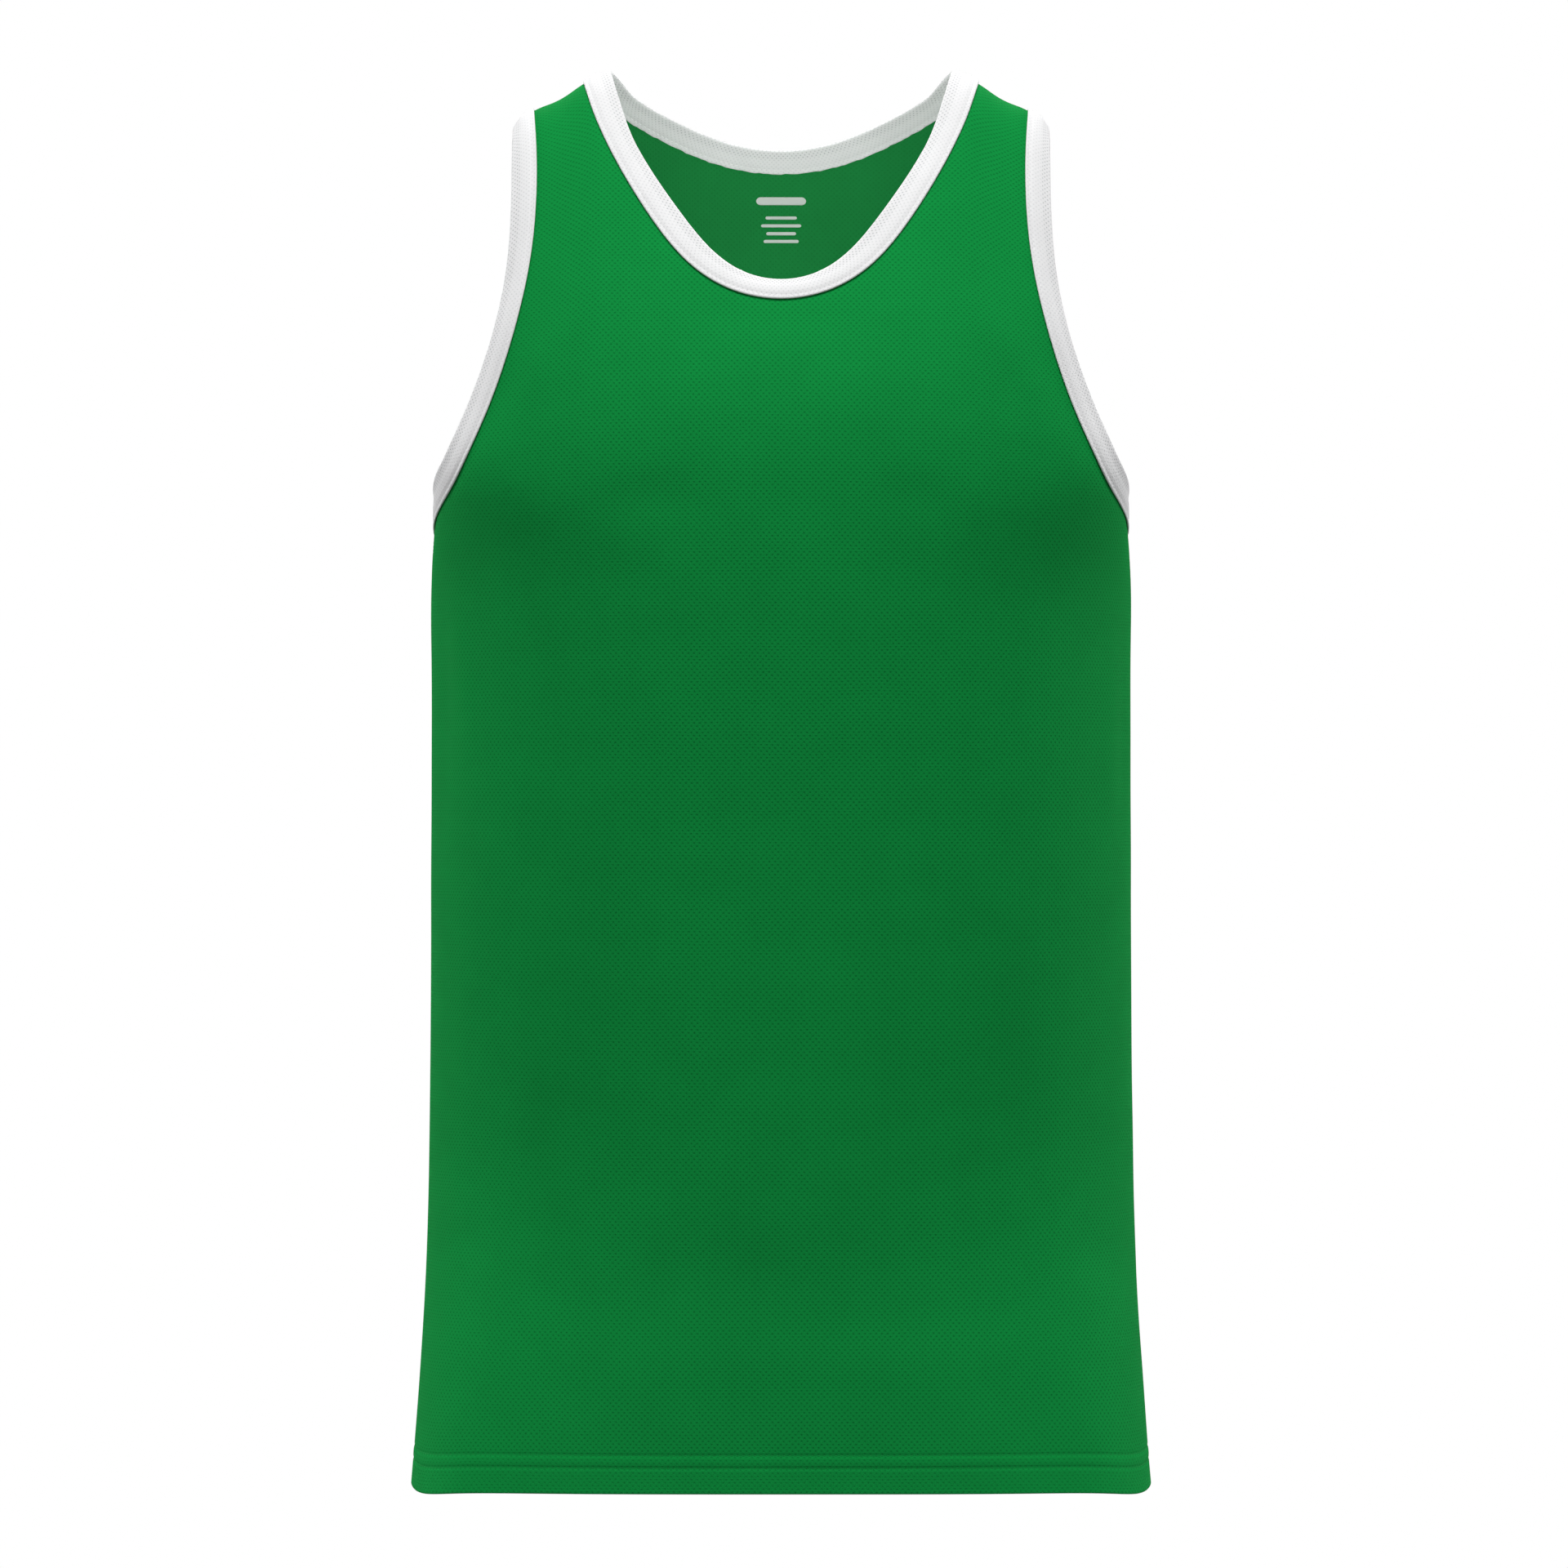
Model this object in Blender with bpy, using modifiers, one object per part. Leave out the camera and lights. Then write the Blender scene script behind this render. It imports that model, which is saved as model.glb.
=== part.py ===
"""Sleeveless basketball jersey in mesh knit, filled out as it is when worn, with nobody in it.

Two cut panels, front and back, meet at the shoulder and side seams. A folded binding is sewn
round the neck and round each armhole, and both panels turn up once inside to make the hem.

Frame: metres, +Z up, the front faces -Y, the wearer's left is +X. The origin is on the centre
line, level with the highest points of the two shoulders and in the plane of the shoulder seams.
"""

from collections import namedtuple

import bpy
import numpy as np

for old in list(bpy.data.objects):
    bpy.data.objects.remove(old, do_unlink=True)

# ---------------------------------------------------------------- sizes, in metres

KNIT = 0.0012  # wall of one layer of cloth
HEM_LAYERS = 2  # the panel and its turning
HEM_DEPTH = 0.020  # how far the turning reaches up inside
STEP = 0.0004  # height over which the wall steps from two layers to one
BINDING = 0.0022  # folded binding, face to face
BINDING_WIDTH = 0.0150
SEAM_GAP = 0.00034  # between two pieces that are sewn together
BODY_LENGTH = 0.7220  # shoulder line to hem
CHEST_LEVEL = 0.2500  # below this the shoulders' slope no longer shows
UNDERARM = 0.2400  # armhole's lowest point, below the shoulder line
FRONT_NECK = 0.1210  # neck seam's lowest point in front, below the shoulder line
BACK_NECK = 0.0466  # and behind
SIDE_SEAM_BEHIND = 0.0140  # the side seams hang this far behind the shoulder seams
NECK_SLOPE_STARTS = 0.0860  # half width of the level stretch of the shoulder line

NECK_COLUMNS = 13  # grid columns from the centre line to the end of the neck seam
SHOULDER_COLUMNS = 4  # and along the shoulder seam
SIDE_ROWS = 17  # grid rows up the side seam, above the turning
ARMHOLE_ROWS = 20
SEAM_ROW = 0.12  # how far in the row or column next to a seam stands, as a share of the one after
OVER_SHOULDER = 2.0  # how many more stations the seams have where they go over the shoulder
ROUND_BELOW = 1.4  # and where they turn at their lowest point
STATION_REACH = 0.0120  # height over which those extra stations thin out

KNIT_GREEN = (0.012, 0.165, 0.040, 1.0)
BINDING_WHITE = (0.80, 0.80, 0.80, 1.0)

# The filled-out form, level by level down from the shoulder line: half its width, how far its
# front and back stand from the plane of the shoulder seams, where it is widest, and how square
# its front and back halves are (2 is an ellipse, more is squarer).
Level = namedtuple("Level", "below half_width front back widest front_square back_square")
FORM = [
    Level(0.000, 0.1580, 0.000, 0.000, 0.000, 2.50, 2.5),
    Level(0.012, 0.1580, -0.028, 0.030, -0.001, 2.50, 2.5),
    Level(0.046, 0.1600, -0.056, 0.067, -0.006, 2.45, 2.5),
    Level(0.088, 0.1630, -0.081, 0.093, -0.013, 2.35, 2.4),
    Level(0.130, 0.1680, -0.101, 0.105, -0.022, 2.25, 2.3),
    Level(0.172, 0.1726, -0.114, 0.110, -0.033, 2.10, 2.2),
    Level(0.214, 0.1750, -0.121, 0.112, -0.038, 2.10, 2.3),
    Level(0.256, 0.1794, -0.124, 0.110, -0.004, 2.10, 2.3),
    Level(0.298, 0.1801, -0.124, 0.108, 0.012, 2.15, 2.3),
    Level(0.382, 0.1802, -0.121, 0.104, 0.013, 2.20, 2.3),
    Level(0.508, 0.1808, -0.118, 0.103, 0.014, 2.15, 2.3),
    Level(0.592, 0.1820, -0.117, 0.106, 0.003, 2.20, 2.4),
    Level(0.655, 0.1846, -0.118, 0.108, -0.004, 2.80, 2.6),
    Level(0.722, 0.1890, -0.121, 0.110, -0.018, 3.60, 2.8),
]

# The shoulder line seen from the front: how far it has fallen at each distance from the centre.
Slope = namedtuple("Slope", "across fall")
SHOULDER = [
    Slope(0.0860, 0.0000),
    Slope(0.0945, 0.0009),
    Slope(0.1027, 0.0059),
    Slope(0.1136, 0.0134),
    Slope(0.1262, 0.0185),
    Slope(0.1355, 0.0235),
    Slope(0.1500, 0.0360),
    Slope(0.1800, 0.0600),
]

# The neck seam: half its width at each level, in front and behind.
Neck = namedtuple("Neck", "below half_width")
FRONT_NECKLINE = [
    Neck(0.0000, 0.1015),
    Neck(0.0110, 0.0987),
    Neck(0.0250, 0.0946),
    Neck(0.0490, 0.0838),
    Neck(0.0660, 0.0741),
    Neck(0.0840, 0.0623),
    Neck(0.1010, 0.0481),
    Neck(0.1180, 0.0200),
]
BACK_NECKLINE = [
    Neck(0.0000, 0.1015),
    Neck(0.0100, 0.0935),
    Neck(0.0220, 0.0775),
    Neck(0.0300, 0.0625),
    Neck(0.0375, 0.0457),
    Neck(0.0420, 0.0325),
]

# The armhole seams: the panel's cloth from its centre line to the seam, at each level.
Armhole = namedtuple("Armhole", "below across")
FRONT_ARMHOLE = [
    Armhole(0.0000, 0.1266),
    Armhole(0.0250, 0.1255),
    Armhole(0.0550, 0.1258),
    Armhole(0.0920, 0.1297),
    Armhole(0.1280, 0.1383),
    Armhole(0.1630, 0.1511),
    Armhole(0.1980, 0.1688),
    Armhole(0.2150, 0.1830),
    Armhole(0.2300, 0.2105),
]
BACK_ARMHOLE = [
    Armhole(0.0000, 0.1266),
    Armhole(0.0200, 0.1270),
    Armhole(0.0500, 0.1290),
    Armhole(0.1000, 0.1340),
    Armhole(0.1500, 0.1430),
    Armhole(0.1900, 0.1570),
    Armhole(0.2200, 0.1750),
    Armhole(0.2340, 0.1930),
]

# A binding across its width, from its seam to the folded edge: share of the full thickness.
Across = namedtuple("Across", "share_of_width thickness")
BINDING_SHAPE = [
    Across(0.00, 0.80),
    Across(0.16, 1.00),
    Across(0.55, 1.00),
    Across(0.85, 0.80),
    Across(1.00, 0.45),
]

# How a binding rolls in towards the wearer across its width, as 1 over the radius of its curve:
# the neck's by how far in front of the shoulder seams its seam lies, the armholes' by level.
NeckBend = namedtuple("NeckBend", "forward bend")
NECK_BEND = [
    NeckBend(-0.070, 8.0),
    NeckBend(-0.040, 18.0),
    NeckBend(0.000, 24.0),
    NeckBend(0.035, 40.0),
    NeckBend(0.060, 36.0),
    NeckBend(0.080, 18.0),
    NeckBend(0.096, 42.0),
]
ArmholeBend = namedtuple("ArmholeBend", "below bend")
ARMHOLE_BEND = [
    ArmholeBend(0.000, 42.0),
    ArmholeBend(0.030, 14.0),
    ArmholeBend(0.100, 14.0),
    ArmholeBend(0.150, 10.0),
    ArmholeBend(0.190, -6.0),
    ArmholeBend(0.240, -6.0),
]


# ---------------------------------------------------------------- the filled-out form


def unit(vectors):
    return vectors / np.linalg.norm(vectors, axis=-1, keepdims=True)


def smooth(knots, values, at):
    """Natural cubic spline through values at knots, read at any places."""
    knots, values, at = (np.asarray(a, float) for a in (knots, values, at))
    step = np.diff(knots)
    count = len(knots)
    system, right = np.eye(count), np.zeros(count)
    i = np.arange(1, count - 1)
    system[i, i - 1], system[i, i + 1] = step[:-1], step[1:]
    system[i, i] = 2 * (step[:-1] + step[1:])
    right[i] = 6 * np.diff(np.diff(values) / step)
    bend = np.linalg.solve(system, right)
    k = np.clip(np.searchsorted(knots, at) - 1, 0, count - 2)
    past, left = at - knots[k], knots[k + 1] - at
    cubic = (bend[k] * left**3 + bend[k + 1] * past**3) / (6 * step[k])
    near = (values[k] / step[k] - bend[k] * step[k] / 6) * left
    far = (values[k + 1] / step[k] - bend[k + 1] * step[k] / 6) * past
    return cubic + near + far


def level(below, column):
    """One column of FORM at any level. The shoulder is round, so the root of the level is even."""
    knots = [np.sqrt(row.below) for row in FORM]
    return smooth(knots, [getattr(row, column) for row in FORM], np.sqrt(below))


def shoulder_fall(across):
    """How far the shoulder line has fallen at a distance from the centre line."""
    away = np.abs(across)
    fall = smooth(*zip(*SHOULDER), away)
    return np.where(away > NECK_SLOPE_STARTS, fall, 0.0)


def ring(below, turn):
    """Level section of the form, half a superellipse in front and half behind.

    turn is 0 at centre front, 1 where the form is widest and 2 at centre back.
    """
    in_front = turn < 1
    sine = np.sin(turn * np.pi / 2)
    cosine = np.abs(np.cos(turn * np.pi / 2))
    square = np.where(in_front, level(below, "front_square"), level(below, "back_square"))
    radius = (sine**square + cosine**square) ** (-1 / square)
    widest = level(below, "widest")
    face = np.where(in_front, level(below, "front"), level(below, "back"))
    return level(below, "half_width") * sine * radius, widest + (face - widest) * cosine * radius


TURNS = np.linspace(0.0, 2.0, 241)


def tape(below):
    """Distance round the form from centre front at each of TURNS, one row for each level."""
    below = np.atleast_1d(below)[:, None] * np.ones(len(TURNS))
    x, y = ring(below, np.broadcast_to(TURNS, below.shape))
    steps = np.hypot(np.diff(x, axis=1), np.diff(y, axis=1))
    return np.pad(np.cumsum(steps, axis=1), ((0, 0), (1, 0))), y


def turn_at(below, round_it, from_back=False):
    """The turn that lies a distance round the form from centre front, or from centre back."""
    lengths, _ = tape(below)
    wanted = lengths[:, -1] - round_it if from_back else round_it
    return np.array([np.interp(w, row, TURNS) for w, row in zip(wanted, lengths)])


def to_side_seam(below):
    """Half the width of the front panel's cloth at each level, and half the back panel's."""
    lengths, y = tape(below)
    seam = [np.interp(SIDE_SEAM_BEHIND, b[1:-1], a[1:-1]) for a, b in zip(lengths, y)]
    return np.array(seam), lengths[:, -1] - np.array(seam)


def on_form(below, turn):
    """Point of the form: the ring at its level, lowered by the slope of the shoulders."""
    x, y = ring(below, turn)
    left = np.clip(1 - below / CHEST_LEVEL, 0.0, 1.0) ** 2
    return np.stack([x, y, -below - shoulder_fall(x) * left], axis=-1)


def outward(below, turn):
    """Unit normal of the form, from two short steps along it."""
    small = 0.0006
    down = on_form((np.sqrt(below) + small) ** 2, turn) - on_form(below, turn)
    along = on_form(below, np.minimum(turn + small, 2)) - on_form(below, np.maximum(turn - small, 0))
    return unit(np.cross(down, along))


# ---------------------------------------------------------------- the cut of the panels


def curve(rows, column, lowest, lowest_value, below):
    """A seam that runs level at its lowest point: even in the root of its height above it."""
    knots = [0.0] + [np.sqrt(lowest - row.below) for row in reversed(rows)]
    values = [lowest_value] + [getattr(row, column) for row in reversed(rows)]
    return smooth(knots, values, np.sqrt(np.maximum(lowest - below, 0.0)))


def neck_turn(below, back):
    """Turn of the neck seam on the form, from its half width at each level."""
    rows, lowest = (BACK_NECKLINE, BACK_NECK) if back else (FRONT_NECKLINE, FRONT_NECK)
    share = curve(rows, "half_width", lowest, 0.0, below) / level(below, "half_width")
    square = level(below, "back_square" if back else "front_square")
    turn = np.arctan2(share, (1 - share**square) ** (1 / square)) / (np.pi / 2)
    return 2 - turn if back else turn


def armhole_turn(below, back):
    """Turn of the armhole seam on the form, from the width of the panel's cloth."""
    rows = BACK_ARMHOLE if back else FRONT_ARMHOLE
    widths = to_side_seam(UNDERARM)
    across = curve(rows, "across", UNDERARM, widths[1 if back else 0][0], below)
    return turn_at(below, across, from_back=back)


DOWN_ROOTS = np.linspace(0.0, np.sqrt(BODY_LENGTH), 1500)


def down_cloth(back):
    """Levels, and the length of cloth from the shoulder seam down the centre line to each."""
    below = DOWN_ROOTS**2
    depth = level(below, "back" if back else "front")
    lengths = np.pad(np.cumsum(np.hypot(np.diff(below), np.diff(depth))), (1, 0))
    return below, lengths


def place(cut, back):
    """Carries points of a flat panel (across from its centre line, down its cloth) to the form."""
    below, lengths = down_cloth(back)
    at = np.interp(cut[..., 1].ravel(), lengths, below)
    turn = turn_at(at, cut[..., 0].ravel(), from_back=back)
    points = on_form(at, turn)
    points[cut[..., 0].ravel() == 0.0, 0] = 0.0
    return points.reshape(*cut.shape[:-1], 3)


def flatten(below, turn, back):
    """Where points of the form lie on the flat panel."""
    levels, lengths = down_cloth(back)
    rounds, _ = tape(below)
    across = np.array([np.interp(t, TURNS, row) for t, row in zip(turn, rounds)])
    if back:
        across = rounds[:, -1] - across
    return np.stack([across, np.interp(below, levels, lengths)], axis=-1)


def seam_levels(seam_turn, back, lowest, count):
    """Levels of the stations up a seam, from its lowest point to the shoulder line."""
    below = lowest * np.cos(np.linspace(0.0, np.pi / 2, 400)) ** 2
    steps = np.linalg.norm(np.diff(on_form(below, seam_turn(below, back)), axis=0), axis=1)
    steps *= (
        1
        + OVER_SHOULDER * np.exp(-below[1:] / STATION_REACH)
        + ROUND_BELOW * np.exp(-(lowest - below[1:]) / STATION_REACH)
    )
    lengths = np.pad(np.cumsum(steps), (1, 0))
    return np.interp(np.linspace(0.0, lengths[-1], count + 1), lengths, below)


def beside(line, square):
    """Steps to the left of a line over the form, at all its points but the first and last.

    square is the normal at those points. A step carries both edges beside it sideways by 1.
    """
    along = unit(np.diff(line, axis=0))
    before = unit(np.cross(square, along[:-1]))
    after = unit(np.cross(square, along[1:]))
    return (before + after) / (1 + np.sum(before * after, axis=-1, keepdims=True))


def trimmed(outline, back):
    """A half panel's outline, from the hem up round to the centre line, half a gap further in."""
    small = 0.00001
    here = place(outline, back)
    across = (place(outline + (small, 0), back) - here) / small
    ahead = np.where(outline[:, 1:] > CHEST_LEVEL, -small, small) * (0, 1)
    down = (place(outline + ahead, back) - here) / ahead[:, 1:]
    line = np.concatenate([2 * here[:1] - here[1:2], here, here[-2:-1] * (-1, 1, 1)])
    inward = beside(line, np.cross(down, across)) * SEAM_GAP / 2
    moved = np.linalg.pinv(np.stack([across, down], axis=-1)) @ inward[..., None]
    outline = outline + moved[..., 0]
    outline[-1, 0] = 0.0
    return outline


def blended(bottom, top, left, right, rise):
    """Fills a four-sided outline: opposite edges are blended, less the blend of the corners."""
    across = np.linspace(0.0, 1.0, len(bottom))[None, :, None]
    up = rise[:, None, None]
    edges = (1 - up) * bottom + up * top + (1 - across) * left[:, None] + across * right[:, None]
    low = (1 - across) * bottom[0] + across * bottom[-1]
    high = (1 - across) * top[0] + across * top[-1]
    return edges - (1 - up) * low - up * high


def half_panel(back):
    """Flat cut of half a panel, row by row from the hem: a grid of (across, down the cloth)."""
    levels, lengths = down_cloth(back)

    # its outline: up the side seam and the armhole, along the shoulder, down the neck
    hem = lengths[-1] - np.array([0.0, HEM_DEPTH / 2, HEM_DEPTH - STEP, HEM_DEPTH])
    underarm = np.interp(UNDERARM, levels, lengths)
    up_side = np.concatenate([hem, np.linspace(hem[-1], underarm, SIDE_ROWS + 1)[1:]])
    half_cloth = to_side_seam(np.interp(up_side, lengths, levels))[1 if back else 0]
    side = np.stack([half_cloth, up_side], axis=-1)
    below = seam_levels(armhole_turn, back, UNDERARM, ARMHOLE_ROWS)
    armhole = flatten(below, armhole_turn(below, back), back)
    below = seam_levels(neck_turn, back, BACK_NECK if back else FRONT_NECK, NECK_COLUMNS)[::-1]
    neck = flatten(below, neck_turn(below, back), back)
    shoulder = np.linspace(armhole[-1], neck[0], SHOULDER_COLUMNS + 1)
    outline = trimmed(np.concatenate([side, armhole[1:], shoulder[1:], neck[1:]]), back)

    # level rows in the turned-up hem, and above them a blend between the four edges
    tip = len(side) + ARMHOLE_ROWS - 1
    right, top = outline[: tip + 1], outline[tip:][::-1]
    share = np.linspace(0.0, 1.0, len(top))
    turning = np.stack([share * right[:4, :1], right[:4, 1:] + 0 * share], axis=-1)
    climb = np.cumsum(np.hypot(*np.diff(right[3:], axis=0).T))
    climb = np.pad(climb, (1, 0)) / climb[-1]
    down = turning[-1, 0, 1] + climb * (top[0, 1] - turning[-1, 0, 1])
    left = np.stack([0 * down, down], axis=-1)
    body = blended(turning[-1], top, left, right[3:], climb**2.5)
    flat = np.concatenate([turning[:-1], body])

    # a close row and column by the seams, so that the wall stands square to the cloth there
    near = flat[-1] + SEAM_ROW * (flat[-2] - flat[-1])
    flat = np.concatenate([flat[:-1], near[None], flat[-1:]])
    near = flat[:, -1:] + SEAM_ROW * (flat[:, -2:-1] - flat[:, -1:])
    return np.concatenate([flat[:, :-1], near, flat[:, -1:]], axis=1)


# ---------------------------------------------------------------- objects


def material(name, colour):
    """Plain cloth of one colour."""
    made = bpy.data.materials.new(name)
    made.use_nodes = True
    shader = made.node_tree.nodes["Principled BSDF"]
    shader.inputs["Base Color"].default_value = colour
    shader.inputs["Roughness"].default_value = 0.85
    shader.inputs["Metallic"].default_value = 0.0
    return made


def grid_faces(rows, columns, closed=False, flipped=False):
    """Corner numbers of every face of a grid of points, joined round if its columns close."""
    row, column = np.meshgrid(np.arange(rows - 1), np.arange(columns - (not closed)), indexing="ij")
    after = (column + 1) % columns
    corners = [row * columns + column, row * columns + after]
    corners += [(row + 1) * columns + after, (row + 1) * columns + column]
    faces = np.stack(corners, axis=-1).reshape(-1, 4)
    return faces[:, ::-1] if flipped else faces


def cloth(name, points, faces, colour, thickness, share, offset, mirror=False):
    """An open surface with a wall: share gives each point's part of the full thickness."""
    mesh = bpy.data.meshes.new(name)
    mesh.from_pydata(points.reshape(-1, 3).tolist(), [], faces.tolist())
    mesh.shade_smooth()
    mesh.materials.append(colour)
    piece = bpy.data.objects.new(name, mesh)
    garment.objects.link(piece)
    group = piece.vertex_groups.new(name="layers")
    for value in np.unique(share):
        group.add(np.flatnonzero(share.ravel() == value).tolist(), float(value), "REPLACE")
    if mirror:
        twin = piece.modifiers.new("other half", "MIRROR")
        twin.use_axis = (True, False, False)
        twin.merge_threshold = 0.00005
        twin.use_mirror_merge = True
    wall = piece.modifiers.new("wall", "SOLIDIFY")
    wall.thickness = thickness
    wall.offset = offset
    wall.use_even_offset = True
    wall.vertex_group = group.name


def panel(name, back):
    """One body panel: outer face on the form, wall inwards, doubled where the hem turns up."""
    points = place(half_panel(back), back)
    rows, columns = points.shape[:2]
    share = np.full((rows, columns), 1 / HEM_LAYERS)
    share[:3] = 1.0
    faces = grid_faces(rows, columns, flipped=back)
    cloth(name, points, faces, green, HEM_LAYERS * KNIT, share, -1.0, mirror=True)


def seam_ring(seam_turn, lowest_front, lowest_back, count):
    """Stations of a seam, up the front and then down the back: levels, points and normals."""
    up = seam_levels(seam_turn, False, lowest_front, count)
    down = seam_levels(seam_turn, True, lowest_back, count)[::-1][1:]
    turn = np.concatenate([seam_turn(up, False), seam_turn(down, True)])
    below = np.concatenate([up, down])
    return below, on_form(below, turn), outward(below, turn)


def rolled_in(seam, normals, away, bend):
    """Middle surface of a binding: it leaves its seam along the form, then bends inwards.

    Across its width each line is an arc of radius 1 / bend, tangent to the form at the seam.
    """
    share = np.array([row.share_of_width for row in BINDING_SHAPE])[:, None]
    reach = SEAM_GAP / 2 + share * BINDING_WIDTH
    angle = reach * bend
    ahead = reach * np.sinc(angle / np.pi)
    inwards = reach * np.sin(angle / 2) * np.sinc(angle / 2 / np.pi)
    return seam - normals * KNIT / 2 + ahead[..., None] * away - inwards[..., None] * normals


def binding(name, strip, closed, flipped, mirror=False):
    """A folded binding: its thickness follows BINDING_SHAPE from the seam to the fold."""
    rows, columns = strip.shape[:2]
    share = np.repeat([[row.thickness] for row in BINDING_SHAPE], columns, axis=1)
    faces = grid_faces(rows, columns, closed=closed, flipped=flipped)
    cloth(name, strip, faces, white, BINDING, share, 0.0, mirror=mirror)


def neck_binding():
    """Half of the neck's ring, from centre front over the shoulder to centre back, mirrored."""
    _, seam, normals = seam_ring(neck_turn, FRONT_NECK, BACK_NECK, NECK_COLUMNS)
    seam[[0, -1], 0] = 0.0
    normals[[0, -1], 0] = 0.0
    other_half = seam * (-1, 1, 1)
    line = np.concatenate([other_half[1:2], seam, other_half[-2:-1]])
    bend = smooth(*zip(*NECK_BEND), -seam[:, 1])
    strip = rolled_in(seam, normals, beside(line, normals), bend)
    strip[:, [0, -1], 0] = 0.0
    binding("neck_binding", strip, closed=False, flipped=False, mirror=True)


def armhole_binding(name, side):
    """The ring round one armhole: up the front from the underarm, and down the back."""
    below, seam, normals = seam_ring(armhole_turn, UNDERARM, UNDERARM, ARMHOLE_ROWS)
    below, seam, normals = below[:-1], seam[:-1], normals[:-1]
    line = np.concatenate([seam[-1:], seam, seam[:1]])
    bend = smooth(*zip(*ARMHOLE_BEND), below)
    strip = rolled_in(seam, normals, -beside(line, normals), bend) * (side, 1, 1)
    binding(name, strip, closed=True, flipped=side > 0)


garment = bpy.data.collections.new("basketball_jersey")
bpy.context.scene.collection.children.link(garment)
green = material("mesh_knit_green", KNIT_GREEN)
white = material("mesh_binding_white", BINDING_WHITE)

panel("front_panel", back=False)
panel("back_panel", back=True)
neck_binding()
armhole_binding("left_armhole_binding", 1)
armhole_binding("right_armhole_binding", -1)
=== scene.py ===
import math

import bpy
import numpy as np
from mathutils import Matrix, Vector


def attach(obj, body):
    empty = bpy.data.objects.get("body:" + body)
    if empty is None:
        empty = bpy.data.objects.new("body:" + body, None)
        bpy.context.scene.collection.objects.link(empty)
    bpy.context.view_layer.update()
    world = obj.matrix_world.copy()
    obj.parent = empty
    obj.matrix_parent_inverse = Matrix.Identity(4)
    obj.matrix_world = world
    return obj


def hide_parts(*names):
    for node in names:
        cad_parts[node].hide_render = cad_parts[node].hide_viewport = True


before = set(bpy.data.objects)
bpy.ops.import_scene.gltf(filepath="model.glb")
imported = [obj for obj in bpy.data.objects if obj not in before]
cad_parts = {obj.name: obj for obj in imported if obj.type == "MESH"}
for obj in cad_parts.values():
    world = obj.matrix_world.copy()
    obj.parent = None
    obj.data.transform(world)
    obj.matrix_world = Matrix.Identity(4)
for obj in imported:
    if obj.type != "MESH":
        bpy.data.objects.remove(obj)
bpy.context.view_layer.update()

# ================================ front panel
# The front is one piece of polyester mesh knit, cut to the neck, shoulder, armhole and side
# seams, with 20 mm turned up inside at the bottom. It is filled out as over a chest, and its
# edges at the neck and the armholes lie inside the folded bindings.

BODY_LENGTH = 0.7220  # shoulder line to hem
CHEST_LEVEL = 0.2500  # below this the shoulders' slope no longer shows
UNDERARM = 0.2400  # armhole's lowest point, below the shoulder line
FRONT_NECK = 0.1210  # neck seam's lowest point in front, below the shoulder line
BACK_NECK = 0.0466  # and behind
SIDE_SEAM_BEHIND = 0.0140  # the side seams hang this far behind the shoulder seams
NECK_SLOPE_STARTS = 0.0860  # half width of the level stretch of the shoulder line

KNIT = 0.00055  # one layer of the real cloth
FOLD = 0.00070  # radius of the fold at the hem
TURNING = 0.0215  # cloth turned up inside
SINGLE_ABOVE = (0.0205, 0.0215)  # over these heights the cloth comes to be one layer
HEM_ROWS_REACH = 0.0240  # height of the fine rows over the hem
UNDER_BINDING = 0.0025  # the panel's edge reaches this far past the seam, inside the binding
SEAM_SLIT = 0.000005  # each panel stops this far short of a seam with the other

NEEDLE_ROWS = (0.0130, 0.0194)  # the hem's two rows of stitches, above its edge
NEEDLE_DENT = 0.00040  # how far a row of stitches draws the cloth in
NEEDLE_SPREAD = 0.00070
TURNING_DRAWN = -0.5  # the turning is drawn the other way, by this share
HEM_PUFF = 0.00016  # the cloth between the two rows stands proud
HEM_PUFF_SPREAD = 0.0022
HEM_DROOP = 0.0026  # the hem hangs lower at the front's two corners
DROOP_TURN, DROOP_SPREAD = 0.655, 0.13  # the corners, as turns round the form
DROOP_HEIGHT = 0.07  # the droop fades out up to here
SEAM_DENT = 0.00090  # the panels dip into the side and shoulder seams
SEAM_SPREAD = 0.0016
BINDING_DENT = 0.00030  # and are drawn down where a binding grips them
BINDING_GRIP = 0.0060
SOFT_BY_BINDING = (0.002, 0.030)  # creases come in over this distance from a panel's bound edge
SOFT_BY_SEAM = (0.0, 0.012)  # and from a seam

NECK_COLUMNS = 56
SHOULDER_COLUMNS = 14
SIDE_ROWS = 84
ARMHOLE_ROWS = 60
HEM_ROWS = 32
FOLD_ROWS = 7
TURNING_ROWS = 14
CLOSE_LINES = (0.72, 0.48, 0.28, 0.12)  # extra rows and columns beside an edge, as shares
ROWS_TURN_LATE = 2.5  # the power by which the rows of cloth take on the neck's shape
CLOTH_STEPS, SEAM_STEPS = 1500, 600  # steps that lengths are measured with
HALVINGS = 34

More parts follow.
